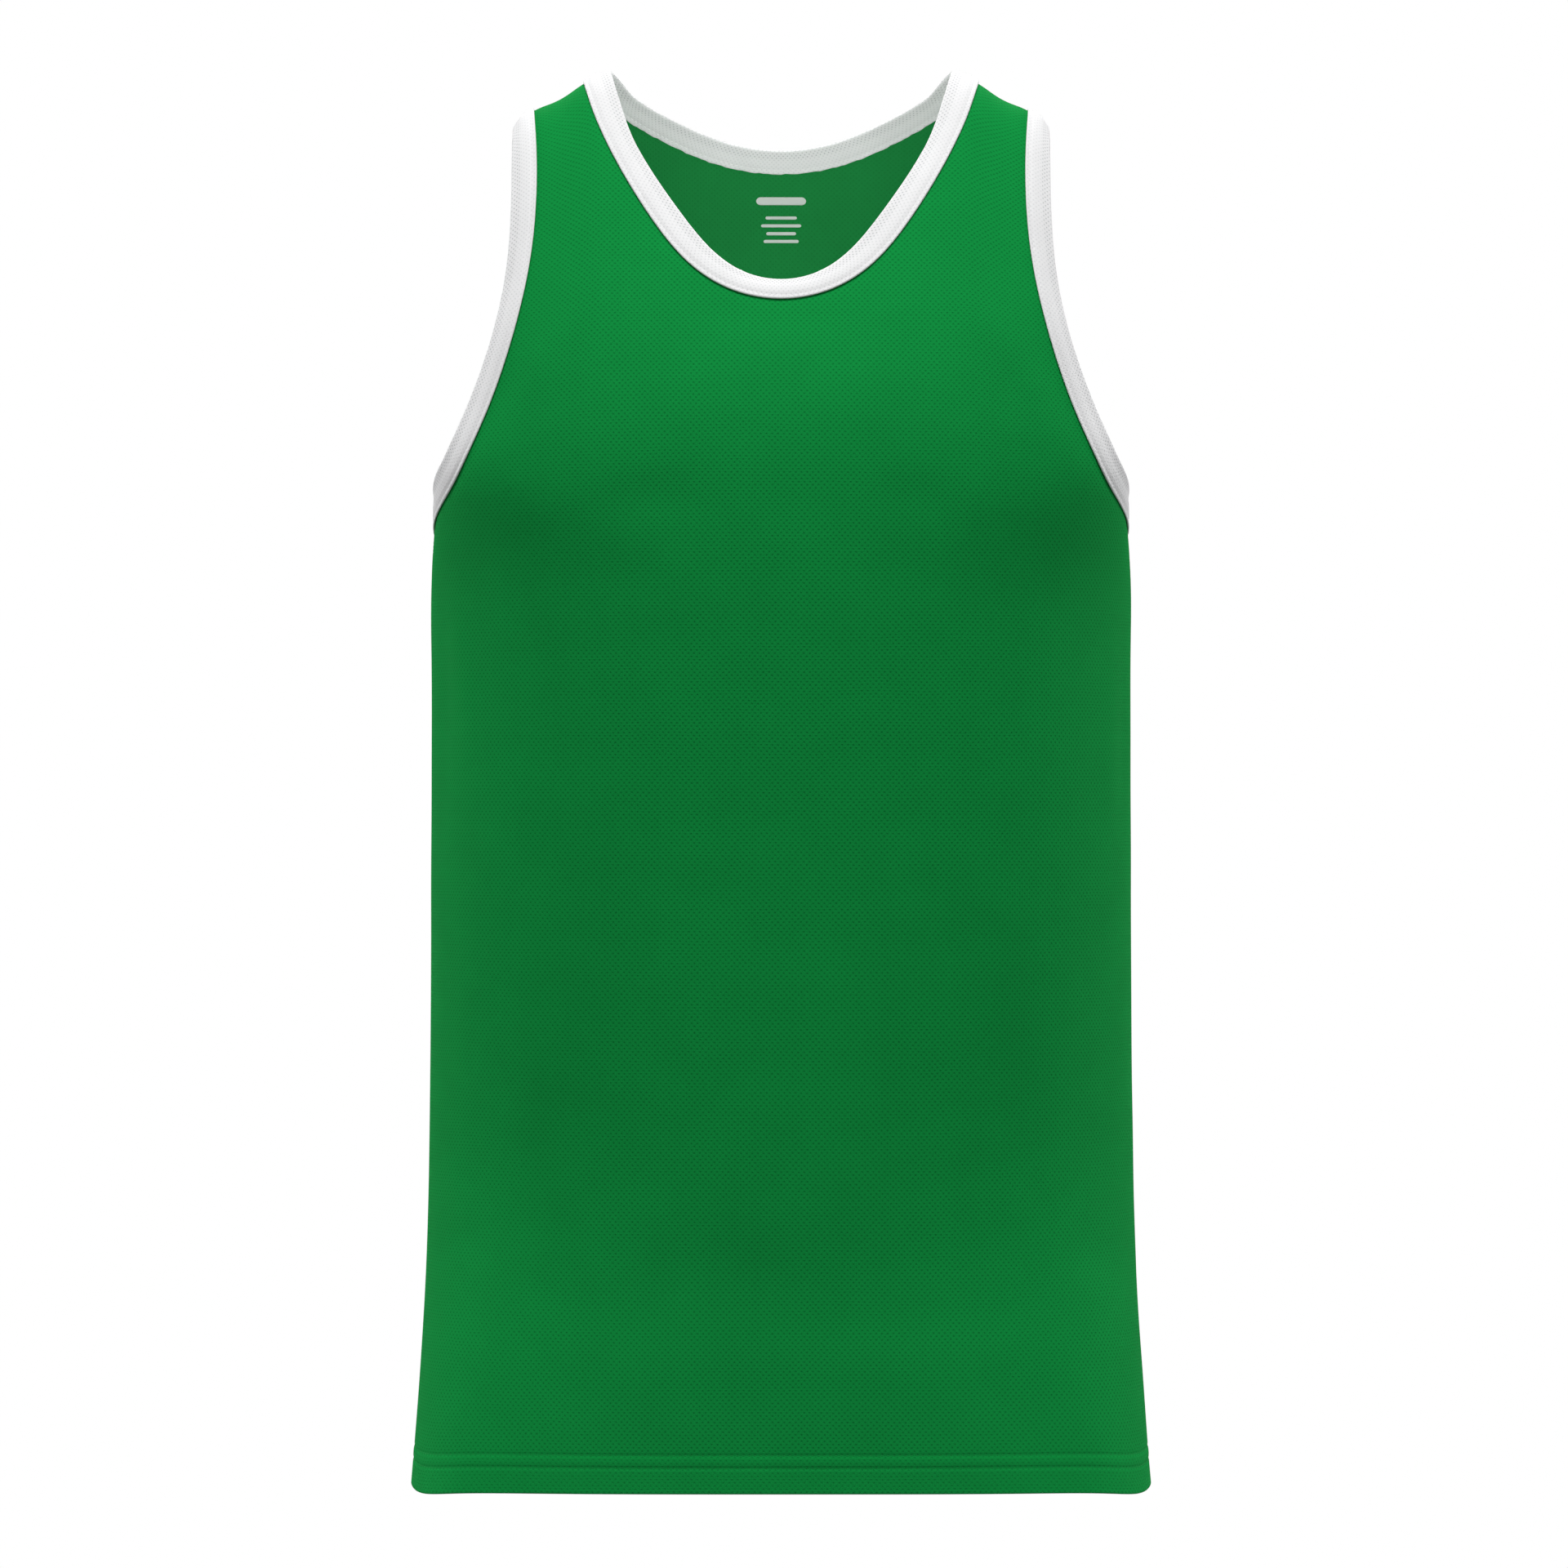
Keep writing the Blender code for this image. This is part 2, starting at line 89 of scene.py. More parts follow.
# The filled-out form, level by level down from the shoulder line: half its width, how far its
# front and back stand from the plane of the shoulder seams, where it is widest, and how square
# its front and back halves are (2 is an ellipse, more is squarer).
FORM_COLUMNS = "below half_width front back widest front_square back_square".split()
FORM = [
    (0.000, 0.1580, 0.000, 0.000, 0.000, 2.50, 2.5),
    (0.012, 0.1580, -0.028, 0.030, -0.001, 2.50, 2.5),
    (0.046, 0.1600, -0.056, 0.067, -0.006, 2.45, 2.5),
    (0.088, 0.1630, -0.081, 0.093, -0.013, 2.35, 2.4),
    (0.130, 0.1680, -0.101, 0.105, -0.022, 2.25, 2.3),
    (0.172, 0.1726, -0.114, 0.110, -0.033, 2.10, 2.2),
    (0.214, 0.1750, -0.121, 0.112, -0.038, 2.10, 2.3),
    (0.256, 0.1794, -0.124, 0.110, -0.004, 2.10, 2.3),
    (0.298, 0.1801, -0.124, 0.108, 0.012, 2.15, 2.3),
    (0.382, 0.1802, -0.121, 0.104, 0.013, 2.20, 2.3),
    (0.508, 0.1808, -0.118, 0.103, 0.014, 2.15, 2.3),
    (0.592, 0.1820, -0.117, 0.106, 0.003, 2.20, 2.4),
    (0.655, 0.1846, -0.118, 0.108, -0.004, 2.80, 2.6),
    (0.722, 0.1890, -0.121, 0.110, -0.018, 3.60, 2.8),
]

# The shoulder line from the front: distance from the centre, and how far it has fallen there.
SHOULDER = (
    (0.086, 0.0), (0.0945, 0.0009), (0.1027, 0.0059), (0.1136, 0.0134),
    (0.1262, 0.0185), (0.1355, 0.0235), (0.15, 0.036), (0.18, 0.06),
)

# The neck seam: level, and half the neck's width. The armhole seam: level, and the panel's cloth
# from its centre line to the seam.
FRONT_NECKLINE = (
    (0.0, 0.1015), (0.011, 0.0987), (0.025, 0.0946), (0.049, 0.0838),
    (0.066, 0.0741), (0.084, 0.0623), (0.101, 0.0481), (0.118, 0.02),
)
FRONT_ARMHOLE = (
    (0.0, 0.1266), (0.025, 0.1255), (0.055, 0.1258), (0.092, 0.1297), (0.128, 0.1383),
    (0.163, 0.1511), (0.198, 0.1688), (0.215, 0.183), (0.23, 0.2105),
)

# Soft creases of the front: centre (across, down the cloth), half length and
# half width, tilt of its length from level in degrees, and height (minus for a trough).
FRONT_CREASES = [
    (0.0, 0.215, 0.12, 0.04, 0, 0.004), (0.0, 0.262, 0.11, 0.05, 0, 0.0013),
    (-0.128, 0.243, 0.038, 0.02, -6, -0.0008), (-0.07, 0.264, 0.024, 0.012, -6, -0.0009),
    (0.067, 0.263, 0.022, 0.011, 8, -0.0008), (0.128, 0.244, 0.04, 0.02, 7, -0.0008),
    (-0.13, 0.196, 0.046, 0.012, -50, 0.0009), (0.128, 0.194, 0.048, 0.012, 48, 0.0009),
    (-0.186, 0.352, 0.044, 0.011, 82, 0.001), (-0.208, 0.372, 0.046, 0.012, 88, -0.001),
    (0.196, 0.392, 0.052, 0.012, 94, 0.0009), (0.216, 0.38, 0.05, 0.012, 92, -0.0008),
    (-0.12, 0.505, 0.09, 0.02, 86, 0.0004), (0.108, 0.52, 0.1, 0.022, 93, 0.0004),
    (0.0, 0.664, 0.17, 0.028, 0, -0.0016), (0.05, 0.7, 0.09, 0.016, -2, 0.0004),
    (-0.165, 0.64, 0.04, 0.012, -10, -0.0005), (0.172, 0.648, 0.038, 0.012, 12, -0.0005),
]
SLACK_WAVES = 8
SLACK_LENGTHS = (0.055, 0.15)
SLACK_HEIGHT = 0.00004


def unit(rows):
    return rows / np.linalg.norm(rows, axis=-1, keepdims=True)


def stacked(*columns):
    return np.stack(np.broadcast_arrays(*columns), axis=-1)


def lengths_along(line):
    """Distance from the start of a line of points to each of them."""
    return np.pad(np.cumsum(np.linalg.norm(np.diff(line, axis=0), axis=-1)), (1, 0))


def smooth(knots, values, at):
    """Natural cubic spline through values at knots, read at any places."""
    knots, values, at = (np.asarray(a, float) for a in (knots, values, at))
    step = np.diff(knots)
    count = len(knots)
    system, right = np.eye(count), np.zeros(count)
    i = np.arange(1, count - 1)
    system[i, i - 1], system[i, i + 1] = step[:-1], step[1:]
    system[i, i] = 2 * (step[:-1] + step[1:])
    right[i] = 6 * np.diff(np.diff(values) / step)
    bend = np.linalg.solve(system, right)
    k = np.clip(np.searchsorted(knots, at) - 1, 0, count - 2)
    past, left = at - knots[k], knots[k + 1] - at
    cubic = (bend[k] * left**3 + bend[k + 1] * past**3) / (6 * step[k])
    near = (values[k] / step[k] - bend[k] * step[k] / 6) * left
    far = (values[k + 1] / step[k] - bend[k + 1] * step[k] / 6) * past
    return cubic + near + far


def bell(distance, spread):
    return np.exp(-((distance / spread) ** 2))


def ease(low, high, at):
    """0 below low, 1 above high, and 3s^2 - 2s^3 between them."""
    share = np.clip((at - low) / (high - low), 0.0, 1.0)
    return share * share * (3 - 2 * share)


def level(below, column):
    """One column of FORM at any level. The shoulder is round, so the root of the level is even."""
    values = np.array(FORM).T
    return smooth(np.sqrt(values[0]), values[FORM_COLUMNS.index(column)], np.sqrt(below))


def ring(below, turn):
    """Level section: half a superellipse in front (|x/a|^n + |y/b|^n = 1) and half behind.

    turn is 0 at centre front, 1 where the form is widest and 2 at centre back.
    """
    in_front = turn < 1
    sine = np.sin(turn * np.pi / 2)
    cosine = np.abs(np.cos(turn * np.pi / 2))
    square = np.where(in_front, level(below, "front_square"), level(below, "back_square"))
    radius = (sine**square + cosine**square) ** (-1 / square)
    widest = level(below, "widest")
    face = np.where(in_front, level(below, "front"), level(below, "back"))
    return level(below, "half_width") * sine * radius, widest + (face - widest) * cosine * radius


def on_form(below, turn):
    """Point of the form: the ring at its level, lowered by the slope of the shoulders."""
    x, y = ring(below, turn)
    left = np.clip(1 - below / CHEST_LEVEL, 0.0, 1.0) ** 2
    fall = np.where(x > NECK_SLOPE_STARTS, smooth(*zip(*SHOULDER), x), 0.0)
    return stacked(x, y, -below - fall * left)


def outward(below, turn):
    """Unit normal of the form: two short steps along it, down and round, crossed."""
    small = 0.0006
    down = on_form((np.sqrt(below) + small) ** 2, turn) - on_form(below, turn)
    before, after = np.maximum(turn - small, 0), np.minimum(turn + small, 2)
    return unit(np.cross(down, on_form(below, after) - on_form(below, before)))


# distance round the form from centre front, for even steps of the turn at each of many levels
TAPE_ROWS, TAPE_TURNS = 420, 361
tape_below = np.linspace(0, math.sqrt(BODY_LENGTH), TAPE_ROWS)[:, None] ** 2
tape_x, tape_y = ring(tape_below, np.linspace(0, 2, TAPE_TURNS)[None])
TAPE = np.cumsum(np.hypot(np.diff(tape_x, axis=1), np.diff(tape_y, axis=1)), axis=1)
TAPE = np.pad(TAPE, ((0, 0), (1, 0)))


def round_form(below, turn):
    """Distance round the form from centre front: TAPE read in a straight line both ways."""
    row = np.sqrt(below / BODY_LENGTH) * (TAPE_ROWS - 1)
    column = np.asarray(turn) / 2 * (TAPE_TURNS - 1)
    i = np.clip(row.astype(int), 0, TAPE_ROWS - 2)
    j = np.clip(column.astype(int), 0, TAPE_TURNS - 2)
    down, across = row - i, column - j
    upper = TAPE[i, j] * (1 - across) + TAPE[i, j + 1] * across
    lower = TAPE[i + 1, j] * (1 - across) + TAPE[i + 1, j + 1] * across
    return upper * (1 - down) + lower * down


def turn_where(too_low, shape):
    """Halves the range of turns again and again, for all points at once."""
    low, high = np.zeros(shape), np.full(shape, 2.0)
    for _ in range(HALVINGS):
        middle = (low + high) / 2
        short = too_low(middle)
        low, high = np.where(short, middle, low), np.where(short, high, middle)
    return (low + high) / 2


def turn_at(below, across, back):
    """The turn that lies a length of cloth from centre front, or from centre back."""
    wanted = round_form(below, 2.0) - across if back else across
    return turn_where(lambda turn: round_form(below, turn) < wanted, below.shape)


def to_side_seam(below, back):
    """Half the width of a panel's cloth, from its centre line to the side seam."""
    turn = turn_where(lambda turn: ring(below, turn)[1] < SIDE_SEAM_BEHIND, below.shape)
    front = round_form(below, turn)
    return round_form(below, 2.0) - front if back else front


def curve(rows, lowest, lowest_value, below):
    """A seam that runs level at its lowest point: even in the root of its height above it."""
    knots = [0.0] + [math.sqrt(lowest - at) for at, _ in reversed(rows)]
    values = [lowest_value] + [value for _, value in reversed(rows)]
    return smooth(knots, values, np.sqrt(np.maximum(lowest - below, 0.0)))


def neck_turn(below, back):
    """Turn of the neck seam on the form, from its half width at each level."""
    rows, lowest = (BACK_NECKLINE, BACK_NECK) if back else (FRONT_NECKLINE, FRONT_NECK)
    share = curve(rows, lowest, 0.0, below) / level(below, "half_width")
    square = level(below, "back_square" if back else "front_square")
    turn = np.arctan2(share, (1 - share**square) ** (1 / square)) / (np.pi / 2)
    return 2 - turn if back else turn


def armhole_turn(below, back):
    """Turn of the armhole seam on the form, from the width of the panel's cloth."""
    rows = BACK_ARMHOLE if back else FRONT_ARMHOLE
    widest = to_side_seam(np.array([UNDERARM]), back)[0]
    return turn_at(below, curve(rows, UNDERARM, widest, below), back)


def down_cloth(back):
    """Levels, and the length of cloth from the shoulder seam down the centre line to each."""
    below = np.linspace(0, math.sqrt(BODY_LENGTH), CLOTH_STEPS) ** 2
    depth = level(below, "back" if back else "front")
    return below, lengths_along(stacked(below, depth))


def seam_levels(seam_turn, back, lowest, count):
    """Levels of the stations up a seam, evenly spaced from its lowest point to the shoulder."""
    below = lowest * np.cos(np.linspace(0, np.pi / 2, SEAM_STEPS)) ** 2
    lengths = lengths_along(on_form(below, seam_turn(below, back)))
    return np.interp(np.linspace(0, lengths[-1], count + 1), lengths, below)


def seam_cut(seam_turn, back, lowest, count, widen):
    """A seam on the flat panel, from its lowest point up, moved out sideways by widen."""
    below = seam_levels(seam_turn, back, lowest, count)
    turn = seam_turn(below, back)
    across = round_form(below, turn)
    if back:
        across = round_form(below, 2.0) - across
    line = stacked(across, np.interp(below, *down_cloth(back)))
    along = unit(np.gradient(line, axis=0))
    along[0], along[-1] = (np.sign(along[0, 0]), 0), (0, -1)
    outwards = along[:, ::-1] * (1, -1)
    return line + widen * outwards


def blended(bottom, top, left, right, rise):
    """Fills a four-sided outline: opposite edges are blended, less the blend of the corners."""
    across = np.linspace(0, 1, len(bottom))[None, :, None]
    up = rise[:, None, None]
    edges = (1 - up) * bottom + up * top + (1 - across) * left[:, None] + across * right[:, None]
    low = (1 - across) * bottom[0] + across * bottom[-1]
    high = (1 - across) * top[0] + across * top[-1]
    return edges - (1 - up) * low - up * high


def with_close_lines(grid):
    """Adds rows beside the last row of a grid, between it and the one before."""
    near = [grid[-1] + share * (grid[-2] - grid[-1]) for share in CLOSE_LINES]
    return np.r_[grid[:-1], np.stack(near), grid[-1:]]


def half_cut(back):
    """Half of a panel above its hem rows, laid flat: a grid of (across, down the cloth)."""
    levels, lengths = down_cloth(back)
    underarm = np.interp(UNDERARM, levels, lengths)
    low = lengths[-1] - HEM_ROWS_REACH
    up_side = np.linspace(low, underarm - UNDER_BINDING, SIDE_ROWS + 1)
    half = to_side_seam(np.interp(up_side, lengths, levels), back) - SEAM_SLIT
    side = stacked(half, up_side)
    armhole = seam_cut(armhole_turn, back, UNDERARM, ARMHOLE_ROWS, -UNDER_BINDING)
    lowest = BACK_NECK if back else FRONT_NECK
    neck = seam_cut(neck_turn, back, lowest, NECK_COLUMNS, UNDER_BINDING)
    armhole[0], armhole[-1, 1], neck[-1, 1] = side[-1], SEAM_SLIT, SEAM_SLIT
    neck[0, 0] = 0.0
    shoulder = np.linspace(neck[-1], armhole[-1], SHOULDER_COLUMNS + 1)

    right = np.r_[side, armhole[1:]]
    top = np.r_[neck, shoulder[1:]]
    bottom = np.linspace((0.0, low), side[0], len(top))
    climb = lengths_along(right)
    climb /= climb[-1]
    left = stacked(0.0, low + climb * (top[0, 1] - low))
    body = with_close_lines(blended(bottom, top, left, right, climb**ROWS_TURN_LATE))
    return np.swapaxes(with_close_lines(np.swapaxes(body, 0, 1)), 0, 1)


def distance_to(line, points):
    """Shortest distance from each point to a line of straight stretches."""
    start, step = line[:-1], np.diff(line, axis=0)
    to_point = points[..., None, :] - start
    share = np.sum(to_point * step, -1) / np.maximum(np.sum(step * step, -1), 1e-16)
    share = np.clip(share, 0, 1)
    return np.linalg.norm(to_point - share[..., None] * step, axis=-1).min(axis=-1)


def crease_height(creases, cut):
    """Sum of soft ridges and troughs, each a bell curve along and across its own axis."""
    total = np.zeros(cut.shape[:-1])
    for across, down, half_length, half_width, tilt, height in creases:
        x, y, tilt = cut[..., 0] - across, cut[..., 1] - down, math.radians(tilt)
        along = (x * math.cos(tilt) + y * math.sin(tilt)) / half_length
        aside = (y * math.cos(tilt) - x * math.sin(tilt)) / half_width
        total += height * np.exp(-(along**2 + aside**2))
    return total


def slackness(cut, seed):
    """Slight unevenness of hanging knit: a few long waves of random direction and phase."""
    draw = np.random.default_rng(seed)
    shortest, longest = SLACK_LENGTHS
    total = np.zeros(cut.shape[:-1])
    for _ in range(SLACK_WAVES):
        angle, wavelength, phase = draw.uniform((0, shortest, 0), (math.pi, longest, 2 * math.pi))
        across = cut[..., 0] * math.cos(angle) + cut[..., 1] * math.sin(angle)
        total += np.sin(across * 2 * math.pi / wavelength + phase)
    return total * SLACK_HEIGHT


def softness(cut, creases, seed, from_binding):
    """How far soft cloth stands off the form: its creases and slackness, less by a binding."""
    soft = crease_height(creases, cut) + slackness(cut, seed)
    return soft * ease(*SOFT_BY_BINDING, from_binding)


def on_panel(cut, back):
    """A panel's flat places carried onto the form: points, normals and turns."""
    levels, lengths = down_cloth(back)
    below = np.interp(cut[..., 1], lengths, levels)
    turn = turn_at(below, np.abs(cut[..., 0]), back)
    points, normals = on_form(below, turn), outward(below, turn)
    centre = cut[..., 0] == 0
    points[centre, 0], normals[centre, 0] = 0.0, 0.0
    mirror = np.where(cut[..., :1] < 0, (-1, 1, 1), (1, 1, 1))
    return points * mirror, unit(normals) * mirror, turn


def grid_faces(rows, columns, closed_rows=False, closed_columns=False, flipped=False):
    """Corner numbers of every face of a grid of points, joined round where it closes."""
    across, up = np.arange(columns - (not closed_columns)), np.arange(rows - (not closed_rows))
    row, column = np.meshgrid(up, across, indexing="ij")
    next_row, next_column = (row + 1) % rows, (column + 1) % columns
    row, next_row = row * columns, next_row * columns
    faces = stacked(row + column, row + next_column, next_row + next_column, next_row + column)
    faces = faces.reshape(-1, 4)
    return faces[:, ::-1] if flipped else faces


def new_object(name, data):
    made = bpy.data.objects.new(name, data)
    bpy.context.scene.collection.objects.link(made)
    return made


def mesh_piece(name, points, faces, material, uv=None, round_length=0.0):
    """A smooth object at the origin from points and faces, with one UV per point if given.

    Where a ring closes, the corners that would start again at 0 go on past round_length.
    """
    mesh = bpy.data.meshes.new(name)
    listed = faces if isinstance(faces, list) else faces.tolist()
    mesh.from_pydata(points.reshape(-1, 3).tolist(), [], listed)
    if uv is not None:
        corners = uv.reshape(-1, 2)[faces]
        behind = corners[..., 0].max(axis=1, keepdims=True) - corners[..., 0]
        corners[..., 0] += round_length * (behind > round_length / 2)
        layer = mesh.uv_layers.new(name="cloth")
        layer.data.foreach_set("uv", corners.astype(np.float32).ravel())
    mesh.shade_smooth()
    mesh.materials.append(material)
    return new_object(name, mesh)


def mark_thin(piece, thin):
    """Keeps on every point whether one layer lies there (1) or another lies behind it (0)."""
    layers = piece.data.attributes.new("thin", "FLOAT", "POINT")
    layers.data.foreach_set("value", thin.astype(np.float32).ravel())


def body_panel(name, back, creases, seed):
    """A panel from its turned-up edge, round the fold, up the outside to the neck and shoulders.

    The outer face lies on the form. The fold is a half circle below it, and the turning lies
    inside at twice the fold's radius. Dents at seams and stitches are bell curves of distance.
    """
    levels, lengths = down_cloth(back)
    hem = lengths[-1]
    half = half_cut(back)
    heights = np.linspace(FOLD, HEM_ROWS_REACH, HEM_ROWS + 1)[:-1]
    turning = np.linspace(FOLD + TURNING, FOLD, TURNING_ROWS + 1)
    bow = np.linspace(np.pi, 0.0, FOLD_ROWS + 2)[1:-1]
    shares = half[0, :, 0] / half[0, -1, 0]

    # rows of the hem: where each lies on the form, how far inside it, how far down, and its cloth
    up = np.r_[turning, np.full(FOLD_ROWS, FOLD), heights]
    inside = np.r_[0 * turning + 2 * FOLD, FOLD - FOLD * np.cos(bow), 0 * heights]
    lower = np.r_[0 * turning, FOLD * np.sin(bow), 0 * heights]
    turned = np.r_[(2 - np.pi) * FOLD - turning, FOLD - FOLD * bow, heights]
    seam = to_side_seam(np.interp(hem - up, lengths, levels), back) - SEAM_SLIT
    hem_rows = stacked(seam[:, None] * shares, (hem - up)[:, None])

    half = np.r_[hem_rows, half]
    pad = (0, len(half) - len(up))
    inside, lower = np.pad(inside, pad)[:, None], np.pad(lower, pad)[:, None]
    cut = np.concatenate([half[:, :0:-1] * (-1, 1), half], axis=1)
    cloth = cut.copy()
    cloth[: len(up), :, 1] = (hem - turned)[:, None]
    points, normals, turn = on_panel(cut, back)

    # dents at the seams and stitches
    right_half = stacked(np.abs(cut[..., 0]), cut[..., 1])
    join = len(half) - len(CLOSE_LINES) - ARMHOLE_ROWS - 1
    # every third point of the side seam is enough
    side_seam, armhole_edge = half[: join + 1 : 3, -1], half[join:, -1]
    neck_edge, shoulder_seam = half[-1, : NECK_COLUMNS + 1], half[-1, NECK_COLUMNS:]
    from_seam, from_edge = (
        np.minimum(distance_to(one, right_half), distance_to(other, right_half))
        for one, other in ((side_seam, shoulder_seam), (armhole_edge, neck_edge))
    )
    dent = SEAM_DENT * bell(from_seam, SEAM_SPREAD)
    dent += BINDING_DENT * (1 - ease(UNDER_BINDING, BINDING_GRIP, from_edge))
    height = hem - cut[..., 1]
    outer = np.arange(len(half))[:, None] >= len(turning) + FOLD_ROWS
    drawn_in = NEEDLE_DENT * np.where(outer, 1, TURNING_DRAWN)
    for row in NEEDLE_ROWS:
        dent += drawn_in * bell(height - row, NEEDLE_SPREAD)
    middle = sum(NEEDLE_ROWS) / 2
    dent -= outer * HEM_PUFF * bell(height - middle, HEM_PUFF_SPREAD)
    soft = softness(cut, creases, seed, from_edge) * ease(*SOFT_BY_SEAM, from_seam)

    down = np.zeros_like(normals)
    down[..., 2] = -1.0
    down = unit(down - np.sum(down * normals, -1, keepdims=True) * normals)
    points = points + normals * (soft - dent - inside)[..., None] + down * lower[..., None]
    corner = 0 if back else bell(turn - DROOP_TURN, DROOP_SPREAD)
    points[..., 2] -= HEM_DROOP * corner * (1 - ease(0.0, DROOP_HEIGHT, height))

    faces = grid_faces(*cut.shape[:2], flipped=back)
    piece = mesh_piece(name + "_cloth", points, faces, green_knit, cloth)
    # One layer above the turning: there the holes show more painted shade and the cloth is painted
    # darker.
    mark_thin(piece, ease(*SINGLE_ABOVE, height))
    wall = piece.modifiers.new("cloth", "SOLIDIFY")
    wall.thickness = KNIT
    wall.offset = -1.0
    piece.data.materials.append(green_wrong_side)
    wall.material_offset = 1
    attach(piece, "root")
    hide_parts(name)
    return points, normals, cut, height[:, 0]


def node(tree, kind, inputs=(), **settings):
    """Adds a shader node, sets its properties, and links or sets its inputs by name or number."""
    made = tree.nodes.new(kind if kind.startswith("NodeGroup") else "ShaderNode" + kind)
    for key, value in settings.items():
        setattr(made, key, value)
    for key, value in dict(inputs).items():
        if isinstance(value, bpy.types.NodeSocket):
            tree.links.new(value, made.inputs[key])
        else:
            made.inputs[key].default_value = value
    return made


def maths(tree, operation, *values):
    return node(tree, "Math", dict(enumerate(values)), operation=operation).outputs[0]


def vectors(tree, operation, *values, output=0):
    made = node(tree, "VectorMath", dict(enumerate(values)), operation=operation)
    return made.outputs[output]


def noise(tree, at, scale, detail):
    given = {"Vector": at, "Scale": scale, "Detail": detail}
    return node(tree, "TexNoise", given).outputs


def smooth_step(tree, value, low, high):
    """0 at low and 1 at high, with level ends."""
    limits = {"Value": value, "From Min": low, "From Max": high}
    return node(tree, "MapRange", limits, interpolation_type="SMOOTHSTEP").outputs[0]


WANDER = 0.0012  # the rows of holes wander by up to half of this
HOLE_EDGE = (1.5, 0.35)  # a hole's soft edge, from outside in, as shares of its radius
# Over the yarn's rise the cloth is painted lighter, away from the holes.
YARN_RISE = (0.28, 0.50)  # and the yarn's rise away from the holes, as shares of their pitch
WALES, COURSES = 4, 2  # stitches to a pitch along a row, and from one row to the next
STITCH_SWING, STITCH_MEAN = 0.07, 0.80  # their height, as a share of the bump's


def mesh_knit_group():
    """Mesh knit: rows of pinholes, every other row shifted half a pitch, between fine wales.

    A point's distance to the nearest hole is the smaller of its distances to two rectangular
    lattices. The yarn stands fullest where that is largest. Stitches are sines across the wales
    and courses, missing where the holes are.
    """
    tree = bpy.data.node_groups.new("mesh_knit", "ShaderNodeTree")
    tree.interface.new_socket("Cloth", in_out="INPUT", socket_type="NodeSocketVector")
    outputs = ("Holes", "Yarn", "Height", "Unevenness")
    for way, names in (("INPUT", ("Pitch", "Row", "Hole")), ("OUTPUT", outputs)):
        for name in names:
            tree.interface.new_socket(name, in_out=way, socket_type="NodeSocketFloat")
    given = node(tree, "NodeGroupInput").outputs
    wander = noise(tree, given["Cloth"], scale=45.0, detail=2.0)["Color"]
    wander = vectors(tree, "SUBTRACT", wander, (0.5, 0.5, 0.5))
    wander = vectors(tree, "MULTIPLY", wander, (WANDER, WANDER, 0))
    place = vectors(tree, "ADD", given["Cloth"], wander)
    two_rows = maths(tree, "MULTIPLY", given["Row"], 2.0)
    sides = {"X": given["Pitch"], "Y": two_rows, "Z": 1.0}
    cell = node(tree, "CombineXYZ", sides).outputs[0]
    flat_cell = vectors(tree, "MULTIPLY", cell, (1, 1, 0))
    away = []
    for shift in ((0, 0, 0), (0.5, 0.5, 0)):
        at = vectors(tree, "ADD", vectors(tree, "DIVIDE", place, cell), shift)
        at = vectors(tree, "SUBTRACT", vectors(tree, "FRACTION", at), (0.5, 0.5, 0.5))
        away.append(vectors(tree, "LENGTH", vectors(tree, "MULTIPLY", at, flat_cell), output=1))
    nearest = maths(tree, "MINIMUM", *away)
    rim, core = (maths(tree, "MULTIPLY", given["Hole"], share) for share in HOLE_EDGE)
    holes = smooth_step(tree, nearest, rim, core)
    low, high = (maths(tree, "MULTIPLY", given["Pitch"], share) for share in YARN_RISE)
    yarn = smooth_step(tree, nearest, low, high)
    parts = node(tree, "SeparateXYZ", {"Vector": place}).outputs
    waves = []
    for axis, size, count in (("X", "Pitch", WALES), ("Y", "Row", COURSES)):
        at = maths(tree, "DIVIDE", parts[axis], given[size])
        waves.append(maths(tree, "SINE", maths(tree, "MULTIPLY", at, count * 2 * math.pi)))
    stitch = maths(tree, "MULTIPLY_ADD", maths(tree, "ADD", *waves), STITCH_SWING, STITCH_MEAN)
    solid = maths(tree, "SUBTRACT", 1.0, holes)
    height = maths(tree, "MULTIPLY", stitch, solid)
    cloudy = noise(tree, given["Cloth"], scale=28.0, detail=3.0)[0]
    results = {"Holes": holes, "Yarn": yarn, "Height": height, "Unevenness": cloudy}
    node(tree, "NodeGroupOutput", results)
    return tree


MESH_KNIT = mesh_knit_group()


def new_material(name, constants):
    """A material whose shader has these constants, its node tree and that shader."""
    made = bpy.data.materials.new(name)
    made.use_nodes = True
    shader = made.node_tree.nodes["Principled BSDF"]
    for key, value in constants.items():
        shader.inputs[key].default_value = value
    return made, made.node_tree, shader


CLOUDY = 0.16  # how much lighter and darker the cloth is from place to place
# Painted shade: a single layer of knit is painted darker than a doubled one, for the dim inside
# showing through it.
SINGLE_LAYER_SHADE = 0.035  # a single layer is this much darker than a doubled one
ROUGH, ROUGHER = 0.85, 0.1  # the cloth's roughness, and how much more the holes have


